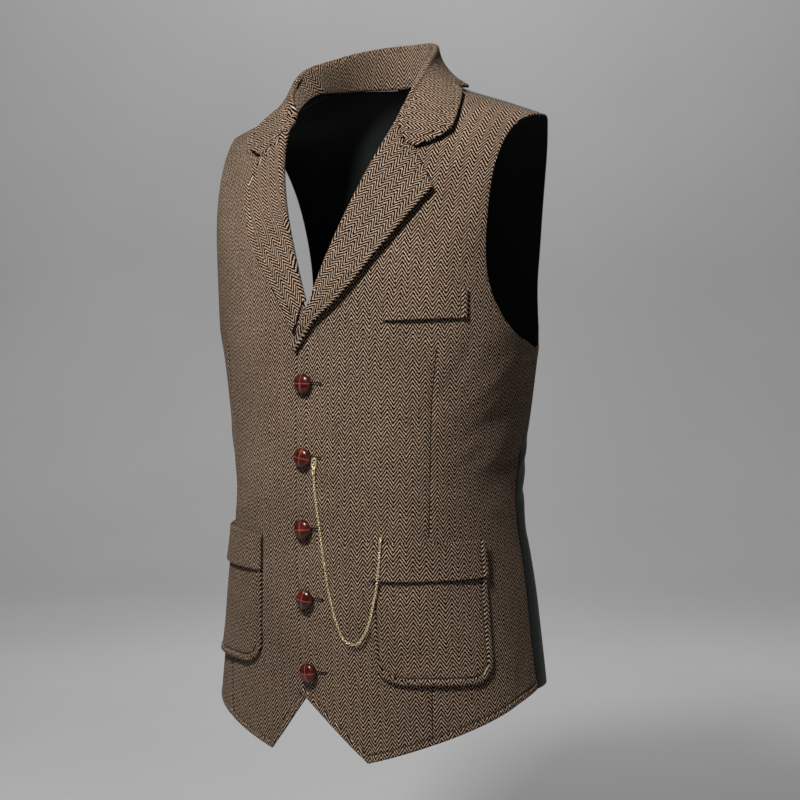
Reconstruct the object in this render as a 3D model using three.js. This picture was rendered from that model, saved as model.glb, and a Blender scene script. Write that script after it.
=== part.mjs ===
import * as THREE from 'three';

// A tweed suit waistcoat, worn and hollow, in millimetres.
// +Z is up, the front faces -Y and the wearer's left is at +X.
// The origin is on the middle plane, between the shoulder seams that carry the garment.

// Cloth, and the clearances between its pieces
const FRONT_CLOTH = 2.4;
const BACK_CLOTH = 1.4;
const TURNED_CLOTH = 2.4;
const POCKET_CLOTH = 2.2;
const SEAM_GAP = 0.3;
const LYING_GAP = 0.6;
const FOLD_RADIUS = 2.6;
const FOLD_STEP = 45;
const FOLD_LEG = 1.2;
const ROLL_GAP = 0.55;
const STAND_GAP = 1.3;
const STAND_BEND = { place: 0.45, depth: 0.1 };
const SMALL_FOLD = 0.62;
const FULL_FOLD_SHARE = 0.25;

// The trunk inside the garment: half width and depths of its rings, from the hem to the chest
const TRUNK = [
  { height: -720, halfWidth: 187, front: 116, back: 126 },
  { height: -640, halfWidth: 184, front: 120, back: 127 },
  { height: -520, halfWidth: 167.5, front: 130, back: 131 },
  { height: -400, halfWidth: 152, front: 134.5, back: 120 },
  { height: -300, halfWidth: 162, front: 133, back: 124 },
  { height: -235, halfWidth: 171, front: 131.5, back: 128 },
];
const CHEST_HEIGHT = -235;
const RING_POWER = 2.32;
const BACK_FULLNESS = 0.5;
const NORMAL_STEP = 1;

// The line over the shoulders, from the neck outwards. The wearer's left shoulder is the higher one.
const SHOULDER_LINE = [
  { x: 0, y: 2, z: 24 },
  { x: 60, y: 4, z: 16 },
  { x: 98, y: 5, z: 2 },
  { x: 130, y: 5, z: -9 },
  { x: 160, y: 4, z: -20 },
  { x: 200, y: 2, z: -35 },
];
const SHOULDER_REACH = 200;
const SHOULDER_TILT = { left: 0.048, right: 0.012 };

// Soft folds of the worn cloth: where each is, which way it runs, and how deep it is.
// The radius turns an angle into a distance round the trunk.
const FOLD_ARC_RADIUS = 150;
const FOLDS = [
  { angle: 80, height: -330, slope: 0.9, halfLength: 70, halfWidth: 16, depth: -2.4 },
  { angle: 84, height: -385, slope: 0.5, halfLength: 60, halfWidth: 15, depth: -2 },
  { angle: -78, height: -350, slope: -0.8, halfLength: 75, halfWidth: 17, depth: -2.6 },
  { angle: -84, height: -400, slope: -0.4, halfLength: 60, halfWidth: 15, depth: -2.2 },
  { angle: 46, height: -150, slope: 1.6, halfLength: 60, halfWidth: 14, depth: -1.8 },
  { angle: -66, height: -150, slope: 8, halfLength: 110, halfWidth: 52, depth: 8 },
  { angle: -70, height: -515, slope: 8, halfLength: 90, halfWidth: 42, depth: -5 },
  { angle: 140, height: -330, slope: 0.5, halfLength: 80, halfWidth: 18, depth: -2.6 },
  { angle: 150, height: -420, slope: 0.2, halfLength: 90, halfWidth: 20, depth: -2.8 },
  { angle: -136, height: -340, slope: -0.6, halfLength: 80, halfWidth: 18, depth: -2.4 },
  { angle: -148, height: -430, slope: -0.2, halfLength: 90, halfWidth: 20, depth: -2.6 },
];

// Front edge, cutaway and roll line. Left is the wearer's left and laps over the right.
const LAP = 19;
const LAP_RISE = 1.5;
const LAP_FLAT = 30;
const LAP_END = 66;
const FRONT_TIP = { x: 59, height: -663 };
const CUT_TOP = { left: -595, right: -566 };
const BREAK_HEIGHT = -256;
const ROLL_LINE = [
  { height: -256, x: -19 },
  { height: -240, x: -8.5 },
  { height: -216, x: 3.5 },
  { height: -166, x: 23.2 },
  { height: -110, x: 44.6 },
  { height: -76, x: 56.5 },
  { height: -46, x: 66 },
  { height: -28, x: 70 },
  { height: 20, x: 71 },
];
const GORGE_HEIGHT = -34;

// Side seams, hem and armholes
const SIDE_HEM = { left: -598, right: -617 };
const HEM_RISE = { left: 5, right: 9 };
const BACK_HEM = -607;
const SIDE_SEAM = [
  { height: -640, angle: 96.5 },
  { height: -560, angle: 95.5 },
  { height: -470, angle: 97.5 },
  { height: -380, angle: 98.2 },
  { height: -345, angle: 102.5 },
  { height: -310, angle: 109 },
  { height: -252, angle: 118 },
];
const ARMPIT_HEIGHT = -252;
const SHOULDER_TIP_ANGLE = 66.5;
const FRONT_ARMHOLE = [
  { share: 0, angle: 118, height: -252 },
  { share: 0.12, angle: 106.5, height: -254.5 },
  { share: 0.22, angle: 95.5, height: -248.5 },
  { share: 0.32, angle: 84.8, height: -236.5 },
  { share: 0.42, angle: 74.5, height: -220 },
  { share: 0.53, angle: 66.6, height: -195 },
  { share: 0.65, angle: 62, height: -152 },
  { share: 0.77, angle: 58.9, height: -105 },
  { share: 0.89, angle: 59.6, height: -55 },
  { share: 1, angle: SHOULDER_TIP_ANGLE, height: 0 },
];
const BACK_ARMHOLE = [
  { share: 0, angle: 118, height: -252 },
  { share: 0.15, angle: 123.5, height: -238 },
  { share: 0.32, angle: 126, height: -206 },
  { share: 0.52, angle: 125, height: -152 },
  { share: 0.72, angle: 122.5, height: -98 },
  { share: 0.87, angle: 120, height: -50 },
  { share: 1, angle: 180 - SHOULDER_TIP_ANGLE, height: 0 },
];
const NECK_HALF_WIDTH = 71;
const BACK_NECK_DROP = 32;
const SEAM_ROWS = 17;
const ARMHOLE_ROWS = 15;
const CUT_ROWS = 5;
const ROLL_SPACING = 1.25;
const FRONT_COLUMNS = 17;
const FRONT_SPACING = 1.08;
const BACK_COLUMNS = 12;
const BACK_SHAPING = 3;
const MIDDLE_ANGLE = 179.985;
const SEAM_ANGLE = 0.08;

// Lapels: outer edge from the break up to the point, then the notch. The right one is the narrower.
const LAPEL_EDGE = {
  left: [
    { share: 0, x: -11, height: -254 },
    { share: 0.12, x: 6, height: -231 },
    { share: 0.3, x: 37, height: -203 },
    { share: 0.6, x: 75, height: -156 },
    { share: 1, x: 117, height: -98 },
  ],
  right: [
    { share: 0, x: 17, height: -236 },
    { share: 0.25, x: 35, height: -202 },
    { share: 0.48, x: 59.4, height: -169 },
    { share: 0.68, x: 78, height: -143 },
    { share: 1, x: 100, height: -92 },
  ],
};
const GORGE = [
  { x: 81, height: -54 },
  { x: 91, height: -58 },
];
const LAPEL_TOP = {
  left: [
    { x: 100, height: -71 },
    { x: 109, height: -84 },
  ],
  right: [
    { x: 95, height: -67 },
    { x: 98, height: -78 },
  ],
};
const LAPEL_START = { left: -252, right: -206 };
const LAPEL_ROWS = 18;
const LAPEL_SHAPING = 4;
const LEAF_LIFT = 3.2;
const COLLAR_GAP = 0.4;

// Collar: the fold line stands round the neck, and the fall turns down to its outer edge
const LEAF_END = [
  { x: 102, height: -55.5 },
  { x: 112, height: -51 },
  { x: 121, height: -44 },
];
// The right side leans out by the last column, and forward by a part of it
const LEAN_FORWARD = 0.6;
const COLLAR_FOLD = [
  { share: 0, x: 65, y: -71, z: -30, lean: 0 },
  { share: 0.12, x: 65.6, y: -58, z: -14, lean: 1 },
  { share: 0.24, x: 69, y: -42, z: 8.5, lean: 10 },
  { share: 0.36, x: 67, y: -16, z: 32, lean: 15 },
  { share: 0.52, x: 54, y: 19, z: 49, lean: 8 },
  { share: 0.75, x: 32, y: 50, z: 60, lean: 2 },
  { share: 1, x: 0, y: 62, z: 63, lean: 0 },
];
const COLLAR_EDGE_FRONT = [
  { share: 0, x: 121, height: -44 },
  { share: 0.35, x: 121, height: -27 },
  { share: 0.7, x: 113, height: -11 },
  { share: 0.88, x: 106, height: -4 },
  { share: 1, x: 98, height: 0 },
];
const COLLAR_EDGE_BACK = { halfWidth: 98, drop: 44, narrowing: 2 };
const COLLAR_FRONT_STATIONS = 5;
const COLLAR_BACK_STATIONS = 8;
const LEAF_STATIONS = 4;
const FALL = { drop: 0.3, lift: 0.1, reach: 0.42 };

// Chest welt and hip pockets with their turned-down tops
const WELT = { inner: 80.5, outer: 148.5, top: -196, bottom: -223.6, rise: 3.5 };
const WELT_ROWS = 2;
const WELT_COLUMNS = 8;
const POCKET = { top: -440, corner: 24 };
const POCKET_SIDES = {
  left: { bottom: -579.5, innerTop: 21.6, innerBottom: 20.2, outerTop: 72.8, outerBottom: 68.8 },
  right: { bottom: -576, innerTop: 19, innerBottom: 18.6, outerTop: 72.8, outerBottom: 68.8 },
};
const POCKET_TOP_DEPTH = 37;
const POCKET_TOP_OVERHANG = 0.4;
const POCKET_TOP_ROWS = 2;
const TOP_GAP = 0.5;
const POCKET_COLUMNS = 14;
const POCKET_ROWS = 7;
const POCKET_ARC_RADIUS = 140;

// Buttons and watch chain
const BUTTON_X = -2;
const BUTTON_HEIGHTS = [-286, -359.3, -430.2, -500.6, -575.1];
const BUTTON_PROFILE = [
  { radius: 0, out: 0 },
  { radius: 3, out: 0 },
  { radius: 3, out: 2 },
  { radius: 8.8, out: 2.3 },
  { radius: 10, out: 3.8 },
  { radius: 9.3, out: 6 },
  { radius: 6.8, out: 7.9 },
  { radius: 3.6, out: 8.9 },
  { radius: 0, out: 9.2 },
];
const BUTTON_SIDES = 14;
const CHAIN_DIAMETER = 3;
const CHAIN_STEPS = 44;
const CHAIN_ROUTE = [
  { x: 11, height: -361.5, lift: 2 },
  { x: 10.6, height: -373, lift: 2 },
  { x: 11.6, height: -390, lift: 2 },
  { x: 13.6, height: -406, lift: 2 },
  { x: 16, height: -424, lift: 2 },
  { x: 18.6, height: -444, lift: 2 },
  { x: 21.4, height: -464, lift: 2 },
  { x: 24.4, height: -484, lift: 2 },
  { x: 28, height: -502, lift: 2 },
  { x: 33, height: -521, lift: 2.1 },
  { x: 39.3, height: -536, lift: 2.3 },
  { x: 46, height: -541, lift: 2.6 },
  { x: 51.8, height: -541.4, lift: 3.6 },
  { x: 58, height: -537.5, lift: 4.6 },
  { x: 64, height: -528, lift: 5 },
  { x: 68.6, height: -516, lift: 5.2 },
  { x: 73, height: -497, lift: 6 },
  { x: 76, height: -481, lift: 7.4 },
  { x: 77.8, height: -463, lift: 7.6 },
  { x: 78.8, height: -447, lift: 7.8 },
  { x: 79, height: -440.5, lift: 7.9 },
  { x: 79, height: -436.4, lift: 6.4 },
  { x: 79, height: -434.2, lift: 3.2 },
];

const MATERIALS = {
  tweed: new THREE.MeshStandardMaterial({ color: 0x6b5641, roughness: 0.95, metalness: 0 }),
  collarTweed: new THREE.MeshStandardMaterial({ color: 0x5e4a38, roughness: 0.95, metalness: 0 }),
  satin: new THREE.MeshStandardMaterial({ color: 0x262a28, roughness: 0.55, metalness: 0 }),
  leather: new THREE.MeshStandardMaterial({ color: 0x4a1710, roughness: 0.3, metalness: 0 }),
  gilt: new THREE.MeshStandardMaterial({ color: 0xc9a45c, roughness: 0.3, metalness: 1 }),
};

const radians = (degrees) => (degrees * Math.PI) / 180;
const mix = (a, b, t) => a + (b - a) * t;
const clamp = (t) => Math.min(1, Math.max(0, t));
const smooth = (t) => clamp(t) ** 2 * (3 - 2 * clamp(t));
const signedPower = (value, power) => Math.sign(value) * Math.abs(value) ** power;
const nameOf = (side) => (side > 0 ? 'left' : 'right');

// A smooth curve through one column of a table whose key column rises from row to row
function lookup(table, key, column, at) {
  let i = 0;
  while (i < table.length - 2 && at > table[i + 1][key]) i += 1;
  const slope = (k) => (table[k + 1][column] - table[k][column]) / (table[k + 1][key] - table[k][key]);
  const tangent = (k) => {
    if (k === 0) return slope(0);
    if (k === table.length - 1) return slope(k - 1);
    const before = table[k][key] - table[k - 1][key];
    const after = table[k + 1][key] - table[k][key];
    return (slope(k - 1) * after + slope(k) * before) / (before + after);
  };
  const span = table[i + 1][key] - table[i][key];
  const t = clamp((at - table[i][key]) / span);
  const start = (1 + 2 * t) * (1 - t) ** 2 * table[i][column] + t * (1 - t) ** 2 * span * tangent(i);
  const end = t * t * (3 - 2 * t) * table[i + 1][column] - t * t * (1 - t) * span * tangent(i + 1);
  return start + end;
}

// How far the worn cloth is pushed in or out at a place on the trunk
function foldDepth(angle, height) {
  let depth = 0;
  for (const fold of FOLDS) {
    const along = radians(angle - fold.angle) * FOLD_ARC_RADIUS;
    const up = height - fold.height;
    const length = Math.hypot(1, fold.slope);
    const run = (along + up * fold.slope) / length;
    const across = (up - along * fold.slope) / length;
    depth += fold.depth * Math.exp(-((run / fold.halfLength) ** 2) - (across / fold.halfWidth) ** 2);
  }
  return depth;
}

// How far the shoulders' slope lifts or lowers the cloth at x
const tiltAt = (x) => SHOULDER_TILT[nameOf(x)] * x;

// The trunk's plain surface. Angle 0 is the middle of the front and 90 the wearer's left side.
// Below the chest, height is z. Above it the rings close in and end on the shoulder line at height 0.
function trunkPoint(angle, height) {
  const level = Math.min(height, CHEST_HEIGHT);
  const halfWidth = lookup(TRUNK, 'height', 'halfWidth', level);
  const sine = signedPower(Math.sin(radians(angle)), 2 / RING_POWER);
  const cosine = signedPower(Math.cos(radians(angle)), 2 / RING_POWER);
  const rise = clamp((height - CHEST_HEIGHT) / -CHEST_HEIGHT);
  const turn = (rise * Math.PI) / 2;
  const x = halfWidth * sine * (1 + (SHOULDER_REACH / halfWidth - 1) * smooth(rise));
  const depth = lookup(TRUNK, 'height', cosine > 0 ? 'front' : 'back', level);
  const topY = lookup(SHOULDER_LINE, 'x', 'y', Math.abs(x));
  const topZ = lookup(SHOULDER_LINE, 'x', 'z', Math.abs(x));
  const closing = Math.max(0, Math.cos(turn)) ** (cosine > 0 ? 1 : BACK_FULLNESS);
  const y = topY + (-depth * cosine - topY) * closing;
  const z = height <= CHEST_HEIGHT ? height : CHEST_HEIGHT + (topZ - CHEST_HEIGHT) * Math.sin(turn);
  return new THREE.Vector3(x, y, z + tiltAt(x) * smooth(rise));
}

function trunkNormal(angle, height) {
  const top = Math.min(height + NORMAL_STEP, -NORMAL_STEP / 5);
  const turn = NORMAL_STEP * 0.3;
  const round = trunkPoint(angle + turn, height).sub(trunkPoint(angle - turn, height));
  const up = trunkPoint(angle, top).sub(trunkPoint(angle, top - 2 * NORMAL_STEP));
  return round.cross(up).normalize();
}

// A point of the worn cloth's outer face, moved out by a lift
function clothPoint(place, lift = 0) {
  const out = lift + foldDepth(place.angle, place.height);
  const normal = trunkNormal(place.angle, place.height);
  return trunkPoint(place.angle, place.height).addScaledVector(normal, out);
}

// The place on the front of the trunk that is x wide at a height given before the shoulders' tilt
function frontPlace(x, z) {
  const topZ = lookup(SHOULDER_LINE, 'x', 'z', Math.abs(x));
  const part = clamp((z - CHEST_HEIGHT) / (topZ - CHEST_HEIGHT));
  const rise = (Math.asin(part) * 2) / Math.PI;
  const height = z <= CHEST_HEIGHT ? z : CHEST_HEIGHT * (1 - rise);
  const halfWidth = lookup(TRUNK, 'height', 'halfWidth', Math.min(z, CHEST_HEIGHT));
  const full = halfWidth * (1 + (SHOULDER_REACH / halfWidth - 1) * smooth(rise));
  const sine = Math.min(1, Math.abs(x) / full) ** (RING_POWER / 2);
  return { angle: (Math.sign(x) * Math.asin(sine) * 180) / Math.PI, height };
}

// The left front is raised and the right one lowered where they lap
function lapLift(side, x) {
  return side * LAP_RISE * (1 - smooth((Math.abs(x) - LAP_FLAT) / (LAP_END - LAP_FLAT)));
}

// One closed wall between an outer and an inner grid of points
function wallBetween(outer, inner) {
  const rows = outer.length;
  const columns = outer[0].length;
  const points = [...outer.flat(), ...inner.flat()];
  const at = (face, i, j) => face * rows * columns + i * columns + j;
  const faces = [];
  const quad = (a, b, c, d) => faces.push([a, b, c], [a, c, d]);
  for (let i = 0; i < rows - 1; i += 1) {
    for (let j = 0; j < columns - 1; j += 1) {
      quad(at(0, i, j), at(0, i, j + 1), at(0, i + 1, j + 1), at(0, i + 1, j));
      quad(at(1, i, j), at(1, i + 1, j), at(1, i + 1, j + 1), at(1, i, j + 1));
    }
    quad(at(0, i, 0), at(0, i + 1, 0), at(1, i + 1, 0), at(1, i, 0));
    quad(at(0, i, columns - 1), at(1, i, columns - 1), at(1, i + 1, columns - 1), at(0, i + 1, columns - 1));
  }
  for (let j = 0; j < columns - 1; j += 1) {
    quad(at(0, 0, j), at(1, 0, j), at(1, 0, j + 1), at(0, 0, j + 1));
    quad(at(0, rows - 1, j), at(0, rows - 1, j + 1), at(1, rows - 1, j + 1), at(1, rows - 1, j));
  }
  return solidFrom(points, faces);
}

// Turns the faces outwards and makes the geometry
function solidFrom(points, faces) {
  let volume = 0;
  for (const [a, b, c] of faces) {
    volume += points[a].dot(new THREE.Vector3().crossVectors(points[b], points[c]));
  }
  const index = faces.flatMap(([a, b, c]) => (volume < 0 ? [a, c, b] : [a, b, c]));
  const geometry = new THREE.BufferGeometry();
  geometry.setAttribute('position', new THREE.Float32BufferAttribute(points.flatMap((p) => p.toArray()), 3));
  geometry.setIndex(index);
  geometry.computeVertexNormals();
  return geometry;
}

// A sheet of even thickness round a grid of middle points
function sheetAround(middle, thickness) {
  const last = middle.length - 1;
  const end = middle[0].length - 1;
  const shifted = (amount) => middle.map((row, i) => row.map((point, j) => {
    const along = row[Math.min(j + 1, end)].clone().sub(row[Math.max(j - 1, 0)]);
    const across = middle[Math.min(i + 1, last)][j].clone().sub(middle[Math.max(i - 1, 0)][j]);
    return point.clone().addScaledVector(along.cross(across).normalize(), amount);
  }));
  return wallBetween(shifted(thickness / 2), shifted(-thickness / 2));
}

// Front panels

// The front edge from the tip of the hem to the neck, as a place at each row of the panel
function frontEdgePlace(side, row) {
  const rows = SEAM_ROWS + ARMHOLE_ROWS;
  const cutTop = CUT_TOP[nameOf(side)];
  let x = -LAP;
  let z = 0;
  if (row <= CUT_ROWS) {
    x = mix(FRONT_TIP.x, -LAP, row / CUT_ROWS);
    z = mix(FRONT_TIP.height, cutTop, row / CUT_ROWS);
  } else if (row <= SEAM_ROWS) {
    z = mix(cutTop, BREAK_HEIGHT, (row - CUT_ROWS) / (SEAM_ROWS - CUT_ROWS));
  } else {
    const share = ((row - SEAM_ROWS) / (rows - SEAM_ROWS)) ** ROLL_SPACING;
    z = mix(BREAK_HEIGHT, lookup(SHOULDER_LINE, 'x', 'z', NECK_HALF_WIDTH), share);
    x = lookup(ROLL_LINE, 'height', 'x', z);
  }
  return frontPlace(side * x, z);
}

// The outer edge of a front or back panel: up the side seam, then round the armhole
function sideEdgePlace(side, row, armhole) {
  if (row <= SEAM_ROWS) {
    const height = mix(SIDE_HEM[nameOf(side)], ARMPIT_HEIGHT, row / SEAM_ROWS);
    return { angle: side * lookup(SIDE_SEAM, 'height', 'angle', height), height };
  }
  const share = (row - SEAM_ROWS) / ARMHOLE_ROWS;
  const angle = lookup(armhole, 'share', 'angle', share);
  return { angle: side * angle, height: lookup(armhole, 'share', 'height', share) };
}

function frontPanel(side) {
  const outer = [];
  const inner = [];
  const rows = SEAM_ROWS + ARMHOLE_ROWS;
  for (let row = 0; row <= rows; row += 1) {
    const start = frontEdgePlace(side, row);
    const end = sideEdgePlace(side, row, FRONT_ARMHOLE);
    end.angle -= row <= SEAM_ROWS ? side * SEAM_ANGLE : 0;
    const outerRow = [];
    const innerRow = [];
    const hem = HEM_RISE[nameOf(side)] * (1 - smooth(row / CUT_ROWS));
    for (let column = 0; column <= FRONT_COLUMNS; column += 1) {
      const share = (column / FRONT_COLUMNS) ** FRONT_SPACING;
      const place = {
        angle: mix(start.angle, end.angle, share),
        height: mix(start.height, end.height, share) + hem * Math.sin(Math.PI * share),
      };
      const lift = lapLift(side, trunkPoint(place.angle, place.height).x);
      const move = row === rows ? -SEAM_GAP / 2 : 0;
      outerRow.push(clothPoint(place, lift).add(new THREE.Vector3(0, move, 0)));
      innerRow.push(clothPoint(place, lift - FRONT_CLOTH).add(new THREE.Vector3(0, move, 0)));
    }
    outer.push(outerRow);
    inner.push(innerRow);
  }
  return wallBetween(outer, inner);
}

// Back panels, joined by a seam down the middle

// The neck seam of the back: share 0 is the middle and 1 the shoulder seam
function backNeckPlace(side, share) {
  const x = NECK_HALF_WIDTH * Math.sin((share * Math.PI) / 2);
  const height = -BACK_NECK_DROP * Math.cos((share * Math.PI) / 2) ** 2;
  return { angle: side * Math.min(MIDDLE_ANGLE, backAngle(x, height)), height };
}

// The angle in the back half where the trunk is x wide at a height
function backAngle(x, height) {
  const rise = clamp((height - CHEST_HEIGHT) / -CHEST_HEIGHT);
  const halfWidth = lookup(TRUNK, 'height', 'halfWidth', Math.min(height, CHEST_HEIGHT));
  const full = halfWidth * (1 + (SHOULDER_REACH / halfWidth - 1) * smooth(rise));
  return 180 - (Math.asin(Math.min(1, x / full) ** (RING_POWER / 2)) * 180) / Math.PI;
}

// The top of a back panel: the neck seam as far as the collar's stations go, then the shoulder seam
function backTopPlace(side, column) {
  if (column <= COLLAR_BACK_STATIONS) return backNeckPlace(side, column / COLLAR_BACK_STATIONS);
  const tip = SHOULDER_REACH * Math.sin(radians(SHOULDER_TIP_ANGLE)) ** (2 / RING_POWER);
  const share = (column - COLLAR_BACK_STATIONS) / (BACK_COLUMNS - COLLAR_BACK_STATIONS);
  return { angle: side * backAngle(mix(NECK_HALF_WIDTH, tip, share), 0), height: 0 };
}

function backPanel(side) {
  const outer = [];
  const inner = [];
  const rows = SEAM_ROWS + ARMHOLE_ROWS;
  const tip = backTopPlace(side, BACK_COLUMNS);
  for (let row = 0; row <= rows; row += 1) {
    const end = sideEdgePlace(side, row, BACK_ARMHOLE);
    end.angle += row <= SEAM_ROWS ? side * SEAM_ANGLE : 0;
    const centreHeight = mix(BACK_HEM, -BACK_NECK_DROP, row / rows);
    const shaping = (row / rows) ** BACK_SHAPING;
    const move = new THREE.Vector3(0, row === rows ? SEAM_GAP / 2 : 0, 0);
    const outerRow = [];
    const innerRow = [];
    for (let column = 0; column <= BACK_COLUMNS; column += 1) {
      const share = column / BACK_COLUMNS;
      const top = backTopPlace(side, column);
      const straightAngle = mix(side * MIDDLE_ANGLE, tip.angle, share);
      const straightHeight = mix(-BACK_NECK_DROP, tip.height, share);
      const place = {
        angle: mix(side * MIDDLE_ANGLE, end.angle, share) + (top.angle - straightAngle) * shaping,
        height: mix(centreHeight, end.height, share) + (top.height - straightHeight) * shaping,
      };
      outerRow.push(clothPoint(place, 0).add(move));
      innerRow.push(clothPoint(place, -BACK_CLOTH).add(move));
    }
    outer.push(outerRow);
    inner.push(innerRow);
  }
  return wallBetween(outer, inner);
}

// The turned fold of a lapel or collar: the sheet's middle points, from its seam to the start of the fall.
// Away points from the cloth's edge into the neck opening, inside to the crest, outward to the outer face.
function foldPoints({ start, away, inside, outward, crest, radius }) {
  const centre = crest.clone().addScaledVector(inside, -radius);
  const foot = centre.clone().addScaledVector(outward, -radius);
  const bend = start.clone().lerp(foot, STAND_BEND.place);
  bend.addScaledVector(away, STAND_BEND.depth * start.distanceTo(foot));
  const points = [start, bend];
  for (let degrees = 0; degrees <= 180; degrees += FOLD_STEP) {
    const point = centre.clone().addScaledVector(outward, -radius * Math.cos(radians(degrees)));
    points.push(point.addScaledVector(inside, radius * Math.sin(radians(degrees))));
  }
  return points;
}

// Lapels

// The fold of a lapel where the roll line is at a height
function rollFold(side, height, radius) {
  const level = (x) => lapLift(side, x) - FRONT_CLOTH / 2;
  const pointAt = (at) => {
    const x = lookup(ROLL_LINE, 'height', 'x', at);
    const place = frontPlace(side * x, at);
    return { place, point: clothPoint(place, level(x)) };
  };
  const { place, point: seam } = pointAt(height);
  const normal = trunkNormal(place.angle, place.height);
  const up = pointAt(height + 2).point.sub(seam).normalize();
  const away = new THREE.Vector3().crossVectors(normal, up).multiplyScalar(side).normalize();
  const crest = seam.clone().addScaledVector(away, ROLL_GAP + FOLD_LEG + radius);
  crest.addScaledVector(normal, radius);
  const start = seam.addScaledVector(away, ROLL_GAP);
  return foldPoints({ start, away, inside: away, outward: normal, crest, radius });
}

// Places across a lapel from its roll to its outer edge, at a share of its length
function lapelPlaces(side, share, rollHeight) {
  const edge = LAPEL_EDGE[nameOf(side)];
  const point = edge.at(-1);
  const topX = lookup(ROLL_LINE, 'height', 'x', GORGE_HEIGHT);
  const startX = lookup(ROLL_LINE, 'height', 'x', rollHeight);
  const endX = lookup(edge, 'share', 'x', share);
  const endHeight = lookup(edge, 'share', 'height', share);
  const shaping = share ** LAPEL_SHAPING;
  return [...GORGE, ...LAPEL_TOP[nameOf(side)], point].map((top, k, all) => {
    const across = (k + 1) / all.length;
    const bendX = top.x - mix(topX, point.x, across);
    const bendHeight = top.height - mix(GORGE_HEIGHT, point.height, across);
    return {
      x: mix(startX, endX, across) + bendX * shaping,
      height: mix(rollHeight, endHeight, across) + bendHeight * shaping,
    };
  });
}

function lapel(side) {
  const middle = [];
  for (let i = 0; i <= LAPEL_ROWS; i += 1) {
    const share = i / LAPEL_ROWS;
    const rollHeight = mix(LAPEL_START[nameOf(side)], GORGE_HEIGHT, share);
    const size = mix(SMALL_FOLD, 1, smooth(share / FULL_FOLD_SHARE));
    const fold = rollFold(side, rollHeight, FOLD_RADIUS * size);
    const lift = 2 * FOLD_RADIUS * size - FRONT_CLOTH / 2;
    const across = lapelPlaces(side, share, rollHeight).map(({ x, height }) => (
      clothPoint(frontPlace(side * x, height), lapLift(side, x) + lift)
    ));
    middle.push([...fold, ...across]);
  }
  return sheetAround(middle, TURNED_CLOTH);
}

// Collar

// The places of the neck seam and of the outer edge at a station, from the gorge to the middle of the back
function collarPlaces(side, station) {
  if (station < COLLAR_FRONT_STATIONS) {
    const share = station / COLLAR_FRONT_STATIONS;
    const top = lookup(SHOULDER_LINE, 'x', 'z', NECK_HALF_WIDTH);
    const height = mix(GORGE_HEIGHT + COLLAR_GAP, top, share);
    const edgeX = lookup(COLLAR_EDGE_FRONT, 'share', 'x', share);
    const edgeHeight = lookup(COLLAR_EDGE_FRONT, 'share', 'height', share);
    return {
      seam: frontPlace(side * lookup(ROLL_LINE, 'height', 'x', height), height),
      edge: frontPlace(side * edgeX, edgeHeight),
      cloth: FRONT_CLOTH,
    };
  }
  const share = 1 - (station - COLLAR_FRONT_STATIONS) / COLLAR_BACK_STATIONS;
  const { halfWidth, drop, narrowing } = COLLAR_EDGE_BACK;
  const x = halfWidth * Math.sin((share * Math.PI) / 2) ** narrowing;
  const height = -drop * Math.cos((share * Math.PI) / 2) ** 2;
  return {
    seam: backNeckPlace(side, share),
    edge: { angle: side * Math.min(MIDDLE_ANGLE, backAngle(x, height)), height },
    cloth: BACK_CLOTH,
  };
}

function collarSeam(side, station) {
  const { seam, cloth } = collarPlaces(side, station);
  return clothPoint(seam, -cloth / 2);
}

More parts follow.
